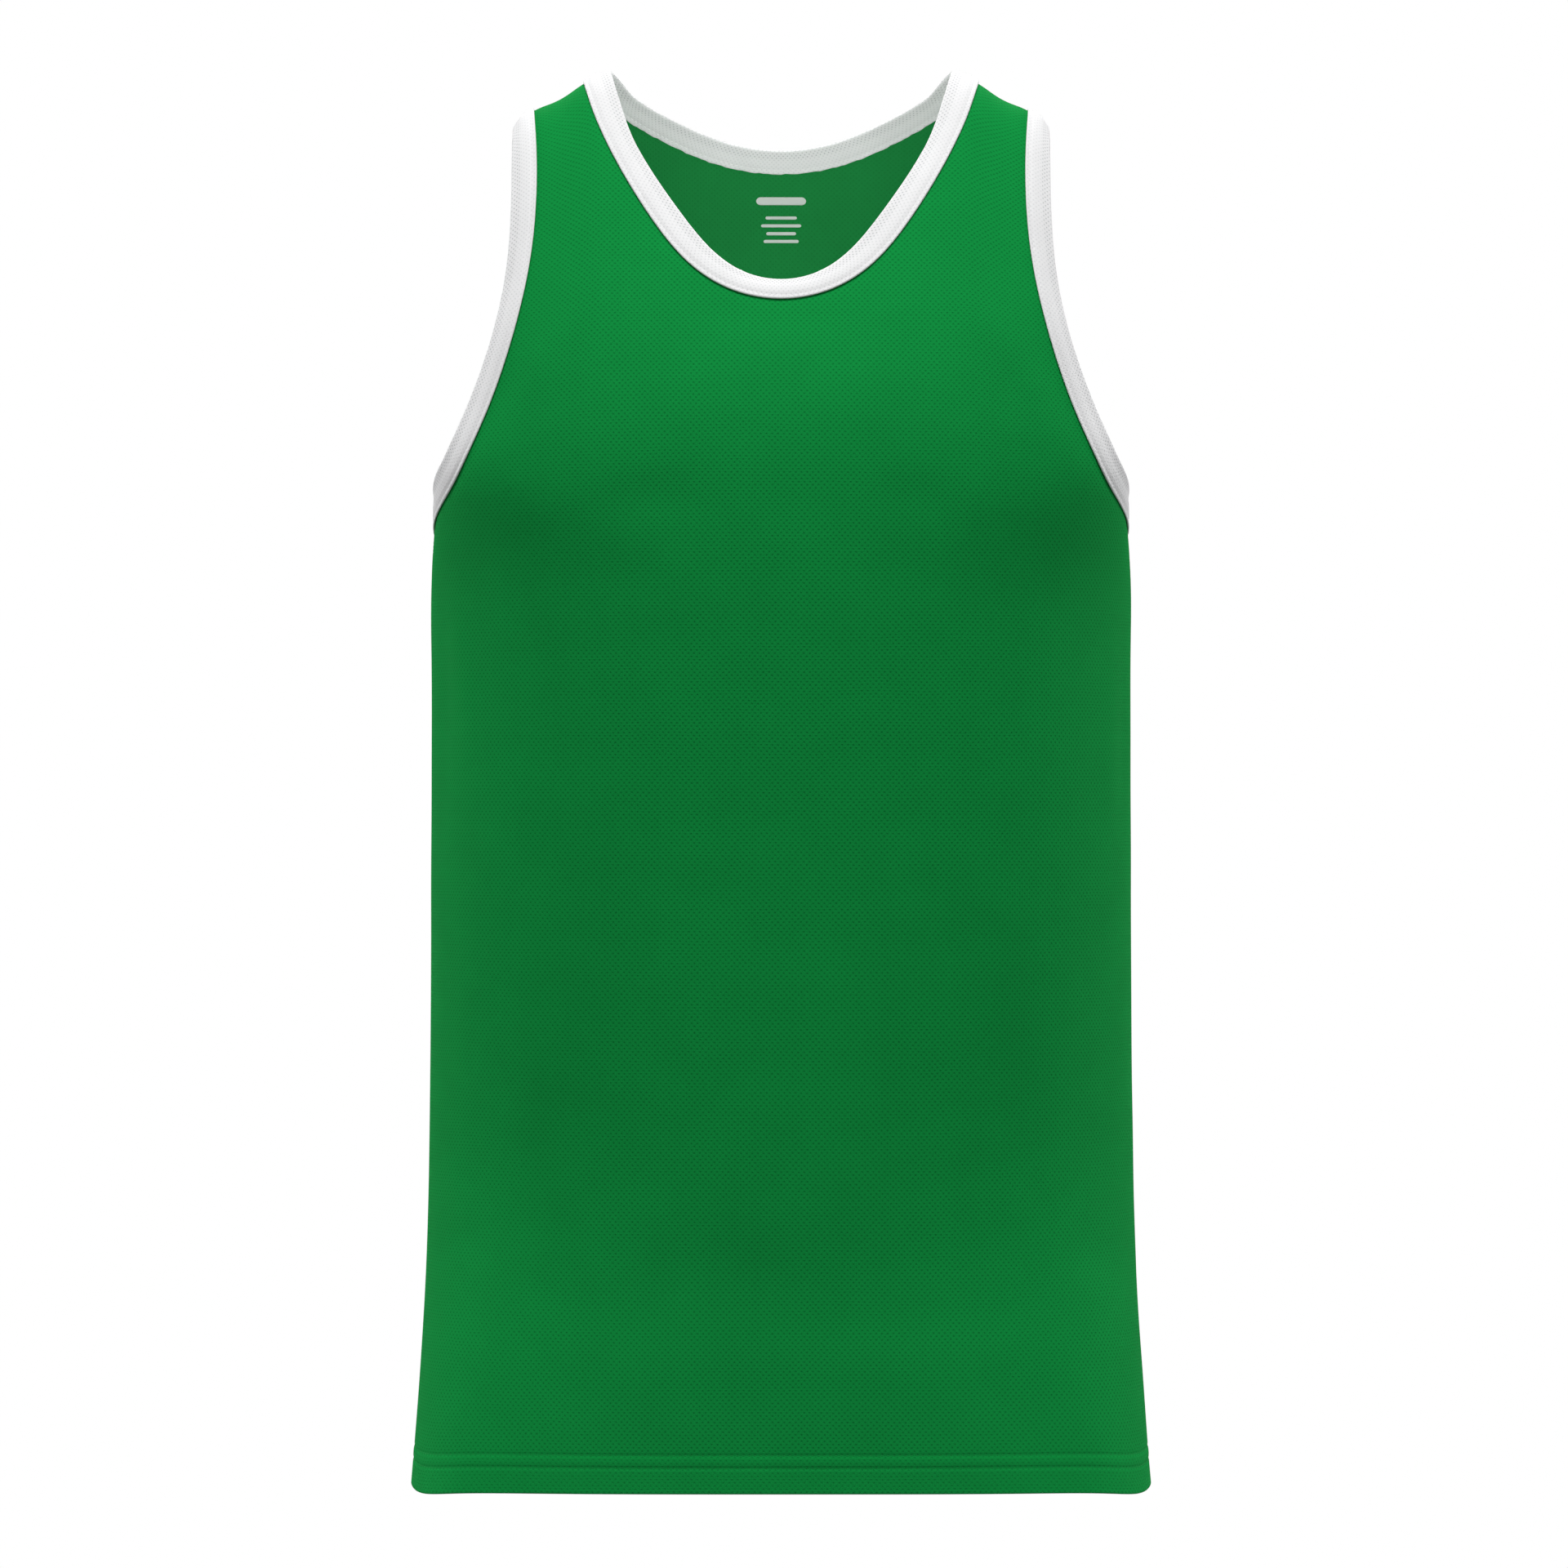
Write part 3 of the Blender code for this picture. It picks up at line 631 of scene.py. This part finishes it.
def knit_material(name, colour, painted_hole_shade, pitch, row, hole, depth, doubled, yarn):
    """Mesh-knit cloth: colour between the holes, painted shade in them for the dim inside seen
    through them, and the stitches as a bump.

    The attribute thin is 0 where a second layer lies behind. There the holes' painted shade shows
    by the share doubled, and the cloth is painted a little lighter. Yarn is how much lighter the
    cloth is painted between the holes, where the yarn stands fullest.
    """
    made, tree, shader = new_material(name, {"Specular IOR Level": 0.02})
    cloth = node(tree, "UVMap", uv_map="cloth").outputs[0]
    given = {"Cloth": cloth, "Pitch": pitch, "Row": row, "Hole": hole}
    knit = node(tree, "Group", given, node_tree=MESH_KNIT).outputs
    layers = node(tree, "Attribute", attribute_name="thin").outputs["Fac"]
    # painted shade in the holes: full on one layer, by the share doubled where a second layer lies
    # behind
    seen = maths(tree, "MULTIPLY_ADD", layers, 1 - doubled, doubled)
    holes = maths(tree, "MULTIPLY", knit["Holes"], seen)
    mixed = node(tree, "Mix", {"Factor": holes, 6: colour, 7: painted_hole_shade}, data_type="RGBA")
    tint = maths(tree, "MULTIPLY_ADD", knit["Unevenness"], CLOUDY, 1 - CLOUDY / 2)
    # painted shade: one layer is painted darker than two
    single = maths(tree, "MULTIPLY_ADD", layers, -SINGLE_LAYER_SHADE, 1.0)
    # painted light: the cloth is painted lighter where the yarn stands fullest, between the holes
    full = maths(tree, "MULTIPLY_ADD", knit["Yarn"], yarn, 1.0)
    tint = maths(tree, "MULTIPLY", maths(tree, "MULTIPLY", tint, single), full)
    tinted = node(tree, "VectorMath", {0: mixed.outputs[2], "Scale": tint}, operation="SCALE")
    tree.links.new(tinted.outputs[0], shader.inputs["Base Color"])
    rough = maths(tree, "MULTIPLY_ADD", holes, ROUGHER, ROUGH)
    tree.links.new(rough, shader.inputs["Roughness"])
    raised = {"Height": knit["Height"], "Strength": 1.0, "Distance": depth}
    tree.links.new(node(tree, "Bump", raised).outputs[0], shader.inputs["Normal"])
    return made


# The second colour of each knit is painted shade in its holes, for the dim inside seen through
# them.
GREEN_KNIT = {"pitch": 0.00291, "row": 0.00159, "doubled": 0.55}
green_knit = knit_material(
    "green_mesh_knit", colour=(0.0050, 0.258, 0.048, 1.0), painted_hole_shade=(0.0036, 0.182, 0.035, 1.0),
    hole=0.00046, depth=0.00014, yarn=0.08, **GREEN_KNIT,
)
green_wrong_side = knit_material(
    "green_knit_wrong_side", colour=(0.0125, 0.222, 0.05, 1.0), painted_hole_shade=(0.0105, 0.188, 0.0425, 1.0),
    hole=0.00042, depth=0.00008, yarn=0.03, **GREEN_KNIT,
)

front_cloth = body_panel("front_panel", back=False, creases=FRONT_CREASES, seed=3)

# ================================ back panel
# The back is cut like the front from the same mesh knit, with a shallow neck. Five plain pale
# bars are printed inside, below the middle of the neck.

BACK_NECKLINE = (
    (0.0, 0.1015), (0.01, 0.0935), (0.022, 0.0775),
    (0.03, 0.0625), (0.0375, 0.0457), (0.042, 0.0325),
)
BACK_ARMHOLE = (
    (0.0, 0.1266), (0.02, 0.127), (0.05, 0.129), (0.1, 0.134),
    (0.15, 0.143), (0.19, 0.157), (0.22, 0.175), (0.234, 0.193),
)
BACK_CREASES = [
    (-0.07, 0.15, 0.05, 0.016, 20, 0.0008), (0.074, 0.156, 0.048, 0.016, -22, 0.0008),
    (-0.112, 0.285, 0.04, 0.013, -16, -0.0011), (0.106, 0.292, 0.042, 0.014, 14, -0.0012),
    (-0.18, 0.38, 0.05, 0.012, 84, 0.001), (0.188, 0.4, 0.046, 0.012, 96, 0.0009),
    (-0.04, 0.42, 0.09, 0.016, 78, 0.0007), (0.052, 0.455, 0.085, 0.016, 100, 0.0007),
    (0.01, 0.64, 0.08, 0.014, 3, -0.0009), (-0.09, 0.69, 0.06, 0.014, -4, 0.0006),
    (0.13, 0.68, 0.05, 0.013, 10, -0.0006),
]
BACK_SEED = 5
back_cloth = body_panel("back_panel", back=True, creases=BACK_CREASES, seed=BACK_SEED)

# The bars, from the top: how far below the shoulder line, half length and half height.
BARS = [
    (0.0607, 0.013, 0.0024), (0.0692, 0.0082, 0.0009), (0.0732, 0.0105, 0.0009),
    (0.0772, 0.0078, 0.0009), (0.0812, 0.0092, 0.0009),
]
INK = 0.00006  # how far the print stands proud of the cloth
BAR_COLUMNS, BAR_ROWS = 34, 8

# flat bars with round ends on the inner face: a circle's height at both ends of each
neck_edge = seam_cut(neck_turn, True, BACK_NECK, NECK_COLUMNS, UNDER_BINDING)
bars = []
for below, half_length, half_height in BARS:
    across = -np.cos(np.linspace(0, np.pi, BAR_COLUMNS)) * half_length
    from_end = np.minimum(half_length - np.abs(across), half_height)
    tall = np.sqrt(np.maximum(2 * half_height * from_end - from_end**2, 1e-12))
    down = np.linspace(-1.0, 1.0, BAR_ROWS)[:, None] * tall
    cut = stacked(across, down + np.interp(below, *down_cloth(True)))
    points, normals, _ = on_panel(cut, True)
    soft = softness(cut, BACK_CREASES, BACK_SEED, distance_to(neck_edge, np.abs(cut)))
    inner = points + normals * (soft - KNIT)[..., None]
    bars.append((inner - normals * INK, inner + normals * INK))
count = BAR_ROWS * BAR_COLUMNS
near = grid_faces(BAR_ROWS, BAR_COLUMNS, flipped=True)
at = np.arange(count).reshape(BAR_ROWS, BAR_COLUMNS)
edge = np.r_[at[0], at[1:-1, -1], at[-1, ::-1], at[-2:0:-1, 0]]
after = np.roll(edge, -1)
wall = stacked(edge, after, after + count, edge + count)
one = np.r_[near, near[:, ::-1] + count, wall]
shift = np.arange(len(BARS))[:, None, None] * 2 * count
constants = {"Base Color": (0.62, 0.66, 0.63, 1.0), "Roughness": 0.6, "Specular IOR Level": 0.2}
ink, _, _ = new_material("inside_bars", constants)
piece = mesh_piece("inside_bars", np.array(bars), (one + shift).reshape(-1, 4), ink)
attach(piece, "root")

# ================================ hem stitching
# The turned-up hem is sewn all round with a twin needle: two rows of green stitches outside, and
# the looper thread crossing between them inside. Every stitch dips into the cloth at its ends.

HEM_PITCH = 0.0029
HEM_STITCH = 0.0023
THREAD = 0.00014  # radius
THREAD_TWIST = 0.30  # how much lighter and darker the thread is along its length
HEM_DIVE = 0.00022
HEM_LIFT = 0.00004  # the stitches' middles lie this far over the cloth
HEM_END = 0.002  # bare cloth at both ends of a panel's rows
LOOPER_LEG = 0.0069
LOOPER_LIFT = LOOPER_DIVE = 0.00012


def thread_material(name, colour):
    """Twisted polyester thread: fine noise makes it lighter and darker along its length."""
    made, tree, shader = new_material(name, {"Roughness": 0.70, "Specular IOR Level": 0.10})
    place = node(tree, "TexCoord").outputs["Object"]
    twist = noise(tree, place, scale=2200.0, detail=1.0)[0]
    tint = maths(tree, "MULTIPLY_ADD", twist, THREAD_TWIST, 1 - THREAD_TWIST / 2)
    tinted = node(tree, "VectorMath", {0: colour, "Scale": tint}, operation="SCALE")
    tree.links.new(tinted.outputs[0], shader.inputs["Base Color"])
    return made


DASH_RINGS, DASH_SIDES = 5, 6
DASH_TAPER = 0.92  # the thread's section thins by this share towards a stitch's ends


def dashes(name, rows, length, dive, material):
    """Rows of short stitches in one mesh: each a thread whose ends dive in, closed by a point.

    Radius is an ellipse's along the stitch, and height falls with the square of the distance
    from its middle.
    """
    centres, along, up = (np.concatenate(part) for part in zip(*rows))
    share = np.sin(np.linspace(-0.5, 0.5, DASH_RINGS + 2)[1:-1] * np.pi)[:, None]
    turn = np.arange(DASH_SIDES) / DASH_SIDES * 2 * np.pi
    across = np.cross(along, up)
    wide = THREAD * np.sqrt(1 - share**2 * DASH_TAPER)
    high = wide * np.sin(turn) - dive * share**2
    body = stacked(share * length / 2, wide * np.cos(turn), high).reshape(-1, 3)
    ends = np.array([(-length / 2, 0, -dive), (length / 2, 0, -dive)])
    one = np.r_[body, ends]
    basis = np.stack([along, across, up], axis=1)
    points = centres[:, None] + np.einsum("kp,nkc->npc", one.T, basis)
    sides = grid_faces(DASH_RINGS, DASH_SIDES, closed_columns=True, flipped=True)
    fan = np.arange(DASH_SIDES)
    after = (fan + 1) % DASH_SIDES
    last = (DASH_RINGS - 1) * DASH_SIDES
    first_cap = stacked(len(body), fan, after)
    last_cap = stacked(len(body) + 1, last + after, last + fan)
    shift = np.arange(len(centres))[:, None, None] * len(one)
    caps = shift + np.r_[first_cap, last_cap]
    faces = (shift + sides).reshape(-1, 4).tolist() + caps.reshape(-1, 3).tolist()
    piece = mesh_piece(name, points, faces, material)
    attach(piece, "root")


def read_rows(at, knots, rows):
    """Rows of numbers that belong to knots, read at other places in straight lines."""
    return stacked(*(np.interp(at, knots, column) for column in rows.T))


def cloth_row(panel, height, across, inner):
    """Places on one level row of a panel's hem, outside or on the turning, and how it runs."""
    *parts, heights = panel
    turning = TURNING_ROWS + 1
    rows = np.arange(turning) if inner else np.arange(turning + FOLD_ROWS, len(heights))
    rows = rows[np.argsort(heights[rows])]
    at = np.interp(height, heights[rows], np.arange(len(rows)))
    low, share = rows[int(at)], at - int(at)
    high = rows[min(int(at) + 1, len(rows) - 1)]
    line, facing, place = (part[low] * (1 - share) + part[high] * share for part in parts)
    runs = np.gradient(line, axis=0)
    line, facing, runs = (read_rows(across, place[:, 0], part) for part in (line, facing, runs))
    return line, unit(facing), unit(runs)


green_thread = thread_material("green_thread", (0.006, 0.240, 0.050))

# both rows outside, and inside a zigzag whose legs run from one row to the other
outside, legs = [], []
for panel in (front_cloth, back_cloth):
    just_over_fold = TURNING_ROWS + FOLD_ROWS + 2
    half = panel[2][just_over_fold, -1, 0] - HEM_END
    count = int(2 * half / HEM_PITCH)
    across = (np.arange(count) - (count - 1) / 2) * 2 * half / count
    for row in NEEDLE_ROWS:
        place, up, along = cloth_row(panel, row, across, False)
        outside.append((place + HEM_LIFT * up, along, up))
    (low, up, _), (high, _, _) = (cloth_row(panel, row, across, True) for row in NEEDLE_ROWS)
    for start, end, facing in ((low, high, up), (high[:-1], low[1:], up[:-1])):
        legs.append(((start + end) / 2 - LOOPER_LIFT * facing, unit(end - start), -facing))
dashes("hem_stitches", outside, HEM_STITCH, HEM_DIVE, green_thread)
dashes("hem_stitches_inside", legs, LOOPER_LEG, LOOPER_DIVE, green_thread)

# ================================ neck binding
# A strip of white mesh knit, folded over the neck's edge with its outer edge turned under, and
# sewn through all its layers along the green side. Its inner edge is left raw and waves a little.

BINDING_KNIT = 0.00035
BINDING_STATIONS = 300
PROFILE_POINTS = 54
PROFILE_STEPS = 900
BEND_WEIGHT = 6.0  # how much closer together the points are where the strip bends
SEAM_STATIONS = 160  # from the front's lowest point to the shoulder, and again to the back's

# The folded strip across its width, through the middle of its cloth: how far from the seam
# towards the opening, and how far above the panel's face. It runs from the turned-under edge,
# round the lip, over the outside, round the fold at the opening, and back inside.
BINDING_FOLDS = (
    (0.0092, 0.0002), (0.006, 0.00018), (0.0024, 0.00016), (0.0009, 0.0002),
    (0.0004, 0.00034), (0.00025, 0.00052), (0.00045, 0.00074), (0.0011, 0.00088),
    (0.0022, 0.00054), (0.0034, 0.00088), (0.0058, 0.00104), (0.008, 0.00088),
    (0.0096, 0.00054), (0.0112, 0.0003), (0.0132, 0.00014), (0.0146, -0.00006),
    (0.0151, -0.00042), (0.0146, -0.00078), (0.0132, -0.00102), (0.011, -0.00112),
    (0.0088, -0.00126), (0.006, -0.0014), (0.0036, -0.00128), (0.0023, -0.00104),
    (0.0012, -0.00114), (-0.0004, -0.00118),
)
TURNED_UNDER = 0.0098  # cloth turned under at the strip's outer edge
THICK_REACH = (0.0086, 0.0102)  # past the turned-under edge the strip is thinner
# Painted shade: near the fold at the opening the strip counts as doubled, so over this distance
# its holes' painted shade and its single layer's painted shade fade out.
PAINTED_SHADE_FADES = (0.0004, 0.0022)  # the knit's holes close this far from the fold at the opening
RAW_EDGE_WAVE = 0.00035
RAW_EDGE_DEPTH = 0.0030  # the wave dies out this far in
RAW_EDGE_WAVES = ((57, 0.5, 0), (93, 0.32, 1), (141, 0.3, 2))  # waves in all, share and start

STITCH_LENGTH = 0.00235
STITCH_PITCH = 0.00300
STITCH_REACH = 0.0022  # from the seam
STITCH_HEIGHTS = (0.00076, -0.00128)  # outside and inside
STITCH_DIVE = 0.00016
TUG, TUGS, TUG_SPREAD = 0.00005, 190, 0.0016  # the thread's pull on the cloth beside it

# How sharply the strip bends down to its opening edge (1 / radius), at each distance that the
# seam lies in front of the shoulder seams.
NECK_BEND = (
    (-0.070, 8.0), (-0.040, 18.0), (0.000, 24.0), (0.035, 40.0), (0.060, 36.0), (0.080, 18.0),
    (0.096, 42.0),
)

WHITE_PITCH = 0.0026  # a whole number of holes goes round each binding
# The second colour is painted shade in the binding's holes.
white_knit = knit_material(
    "white_mesh_knit", colour=(0.785, 0.785, 0.79, 1.0), painted_hole_shade=(0.46, 0.47, 0.48, 1.0),
    pitch=WHITE_PITCH, row=0.00145, hole=0.00038, depth=0.00010, doubled=0.35, yarn=0.02,
)
white_thread = thread_material("white_thread", (0.86, 0.86, 0.86))


def seam_ring(seam_turn, lowest_front, lowest_back):
    """Stations of a seam, up the front and then down the back: levels, points and normals."""
    up = seam_levels(seam_turn, False, lowest_front, SEAM_STATIONS)
    down = seam_levels(seam_turn, True, lowest_back, SEAM_STATIONS)[-2::-1]
    turn = np.r_[seam_turn(up, False), seam_turn(down, True)]
    below = np.r_[up, down]
    return below, on_form(below, turn), outward(below, turn)


def read_ring(columns, lengths, at):
    """Columns of numbers along a closed ring, read at other distances round it."""
    closed = (np.r_[c, c[:1]].reshape(len(lengths), -1) for c in columns)
    return [read_rows(at, lengths, column) for column in closed]


def even_ring(seam, *columns):
    """Spaces the stations of a closed ring evenly, and carries the other columns along."""
    lengths = lengths_along(np.r_[seam, seam[:1]])
    at = np.arange(BINDING_STATIONS) / BINDING_STATIONS * lengths[-1]
    return lengths[-1], at, read_ring((seam, *columns), lengths, at)


def strip_profile():
    """BINDING_FOLDS as a smooth line: place, its normal, and how far along the cloth it is."""
    rough = np.array(BINDING_FOLDS)
    chord = lengths_along(rough)
    along = np.linspace(0, chord[-1], PROFILE_STEPS)
    line = stacked(*(smooth(chord, column, along) for column in rough.T))
    steps = np.diff(line, axis=0)
    angle = np.unwrap(np.arctan2(steps[:, 1], steps[:, 0]))
    even = np.hypot(*steps.T) * PROFILE_STEPS / chord[-1]
    share = np.pad(np.cumsum(even + BEND_WEIGHT * np.abs(np.gradient(angle))), (1, 0))
    at = np.interp(np.linspace(0, share[-1], PROFILE_POINTS), share, along)
    place = read_rows(at, along, line)
    tangent = unit(np.gradient(place, axis=0))
    return place, tangent[:, ::-1] * (-1, 1), at


def binding_frame(seam, normals, sign, bend):
    """What a point across a binding stands on: the seam, the way out of it, and the bend."""
    along = unit(np.roll(seam, -1, axis=0) - np.roll(seam, 1, axis=0))
    normals = unit(normals - np.sum(normals * along, -1, keepdims=True) * along)
    return seam, normals, sign * np.cross(normals, along), along, bend.reshape(-1, 1)


def on_binding(stand, reach, height):
    """Each line across the strip is an arc of radius 1 / bend, tangent to the form at the seam."""
    seam, normals, away, _, bend = stand
    angle = reach * bend
    ahead = reach * np.sinc(angle / np.pi)
    inwards = reach * np.sin(angle / 2) * np.sinc(angle / 2 / np.pi)
    lift = height * np.cos(angle) - inwards
    forth = height * np.sin(angle) + ahead
    return seam[:, None] + forth[..., None] * away[:, None] + lift[..., None] * normals[:, None]


def folded_binding(name, stand, around, length, flipped):
    """Sweeps the folded strip round its seam: its two faces, joined at both of its edges."""
    place, square, along = strip_profile()
    wall = square * BINDING_KNIT / 2
    both = np.r_[place + wall, (place - wall)[::-1]]
    cloth = np.r_[along, along[::-1]]
    turns = around[:, None] / length * 2 * np.pi
    wave = sum(share * np.sin(count * turns + start) for count, share, start in RAW_EDGE_WAVES)
    raw = ease(along[-1] - RAW_EDGE_DEPTH, along[-1], cloth)
    by_thread = bell(both[:, 0] - STITCH_REACH, TUG_SPREAD)
    tug = TUG * np.sin(TUGS * turns) * by_thread
    points = on_binding(stand, both[:, 0] + RAW_EDGE_WAVE * wave * raw, both[:, 1] + tug)
    knitted = round(length / WHITE_PITCH) * WHITE_PITCH
    uv = stacked(around[:, None] * knitted / length, cloth)
    faces = grid_faces(*points.shape[:2], closed_rows=True, closed_columns=True, flipped=flipped)
    piece = mesh_piece(name + "_cloth", points, faces, white_knit, uv, knitted)
    from_fold = np.abs(cloth - cloth[np.argmax(both[:, 0])])
    # Painted shade: where the strip is one layer, past the turned-under edge and away from the
    # fold, its holes show painted shade and it is painted darker.
    thin = ease(*THICK_REACH, both[:, 0]) * (cloth > TURNED_UNDER) * ease(*PAINTED_SHADE_FADES, from_fold)
    mark_thin(piece, thin + 0 * around[:, None])
    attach(piece, "root")
    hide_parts(name)


def binding_stitches(name, stand, around, length):
    """A row of stitches in the binding's groove, all the way round, outside and inside."""
    count = int(length / STITCH_PITCH)
    rows = []
    for height, shift, outwards in zip(STITCH_HEIGHTS, (0.0, 0.5), (1, -1)):
        at = (np.arange(count) + shift) / count * length
        seam, normals, away, along, bend = read_ring(stand, np.append(around, length), at)
        spread = (seam, unit(normals), unit(away), unit(along), bend)
        reach, high = np.full((count, 1), STITCH_REACH), np.full((count, 1), height)
        centres = on_binding(spread, reach, high)[:, 0]
        rows.append((centres, spread[3], spread[1] * outwards))
    dashes(name, rows, STITCH_LENGTH, STITCH_DIVE, white_thread)


_, half_seam, half_normals = seam_ring(neck_turn, FRONT_NECK, BACK_NECK)
half_seam[[0, -1], 0] = 0.0
half_normals[[0, -1], 0] = 0.0
flip = (-1, 1, 1)
seam = np.r_[half_seam, half_seam[-2:0:-1] * flip]
normals = unit(np.r_[half_normals, half_normals[-2:0:-1] * flip])
length, around, (seam, normals) = even_ring(seam, normals)
stand = binding_frame(seam, normals, 1, smooth(*zip(*NECK_BEND), -seam[:, 1]))
folded_binding("neck_binding", stand, around, length, flipped=True)
binding_stitches("neck_stitches", stand, around, length)

# ================================ armhole bindings
# Each armhole is bound with a strip like the neck's, sewn on as a ring after the side seam.

ARMHOLE_BEND = (
    (0.000, 42.0), (0.030, 14.0), (0.100, 14.0), (0.150, 10.0), (0.190, -6.0), (0.240, -6.0),
)  # by the level of the seam

below, seam, normals = (part[:-1] for part in seam_ring(armhole_turn, UNDERARM, UNDERARM))
bend = smooth(*zip(*ARMHOLE_BEND), below)
length, around, (seam, normals, bend) = even_ring(seam, normals, bend)
for side_name, side in (("left", 1), ("right", -1)):
    hand = (side, 1, 1)
    stand = binding_frame(seam * hand, unit(normals) * hand, -side, bend)
    folded_binding(f"{side_name}_armhole_binding", stand, around, length, flipped=side < 0)
    binding_stitches(f"{side_name}_armhole_stitches", stand, around, length)

# ================================ studio
# A pale floor under a white surround, a broad light from above in front, and one at each side.
# A faint one inside the body stands for the light that comes through the cloth.

FLOOR_LEVEL = -1.15
FLOOR_REACH = 3.8  # the floor ends where it would come into the front view
FLOOR_SIDES = 96
PLAIN = (1, 1, 1, 1)
glowing = {"Base Color": (0.9, 0.9, 0.9, 1.0), "Emission Color": PLAIN, "Emission Strength": 0.75}
pale, _, _ = new_material("pale_floor", glowing)
turns = np.linspace(0, 2 * np.pi, FLOOR_SIDES + 1)[:-1]
rim = stacked(np.cos(turns) * FLOOR_REACH, np.sin(turns) * FLOOR_REACH, FLOOR_LEVEL)
floor = mesh_piece("floor", rim, [list(range(FLOOR_SIDES))], pale)
floor.visible_diffuse = False

SURROUND_BELOW, SURROUND_ABOVE = 0.08, 0.20
world = bpy.data.worlds.new("white_surround")
world.use_nodes = True
sky = world.node_tree
surround = sky.nodes["Background"]
surround.inputs["Color"].default_value = PLAIN
direction = node(sky, "TexCoord").outputs["Generated"]
upward = node(sky, "SeparateXYZ", {"Vector": direction}).outputs["Z"]
glow = {"Value": upward, "From Min": -1.0, "To Min": SURROUND_BELOW, "To Max": SURROUND_ABOVE}
sky.links.new(node(sky, "MapRange", glow).outputs[0], surround.inputs["Strength"])
seen = node(sky, "Background", {"Color": PLAIN, "Strength": 1.0})
choice = node(sky, "MixShader", {0: node(sky, "LightPath").outputs[0]})
sky.links.new(surround.outputs[0], choice.inputs[1])
sky.links.new(seen.outputs[0], choice.inputs[2])
sky.links.new(choice.outputs[0], sky.nodes["World Output"].inputs[0])
bpy.context.scene.world = world

# name, place, aim, width, height and watts
SOFTBOXES = [
    ("overhead", (0, -1.3, 2.4), (0, 0, -0.3), 2, 1.2, 85),
    ("front_fill", (0, -5.6, -0.2), (0, 0, -0.35), 2.5, 2.5, 7),
    ("low_fill", (0, -0.95, -1.02), (0, 0, -0.72), 1.3, 0.4, 1.3),
    ("left_front", (-2.1, -0.8, -0.3), (0, 0, -0.35), 0.7, 2, 8.6),
    ("right_front", (2.1, -0.8, -0.3), (0, 0, -0.35), 0.7, 2, 8.6),
    ("left_strip", (-2, 1, -0.3), (0, 0, -0.4), 0.7, 2.2, 25),
    ("right_strip", (2, 1, -0.3), (0, 0, -0.4), 0.7, 2.2, 25),
    ("rear", (0, 2.6, 2.2), (0, 0, -0.35), 2, 1.4, 66),
    ("inside", (0, -0.078, -0.118), (0, 0.06, -0.03), 0.11, 0.03, 0.178),
]
for name, place, aim, width, height, watts in SOFTBOXES:
    light = bpy.data.lights.new(name, "AREA")
    light.shape = "RECTANGLE"
    light.size, light.size_y = width, height
    light.energy = watts
    lamp = new_object(name, light)
    lamp.location = place
    towards = Vector(aim) - Vector(place)
    lamp.rotation_euler = towards.to_track_quat("-Z", "Y").to_euler()
    lamp.visible_camera = False

CAMERA_PLACE = (0.0015, -5.0, -0.3654)
FRAME_WIDTH = 0.8064  # what the frame takes in at the shoulder seams
lens = bpy.data.cameras.new("camera")
lens.sensor_width = 36.0
lens.lens = lens.sensor_width * -CAMERA_PLACE[1] / FRAME_WIDTH
camera = new_object("camera", lens)
camera.location = CAMERA_PLACE
camera.rotation_euler = (math.pi / 2, 0.0, 0.0)
bpy.context.scene.camera = camera
bpy.context.scene.view_settings.view_transform = "Standard"
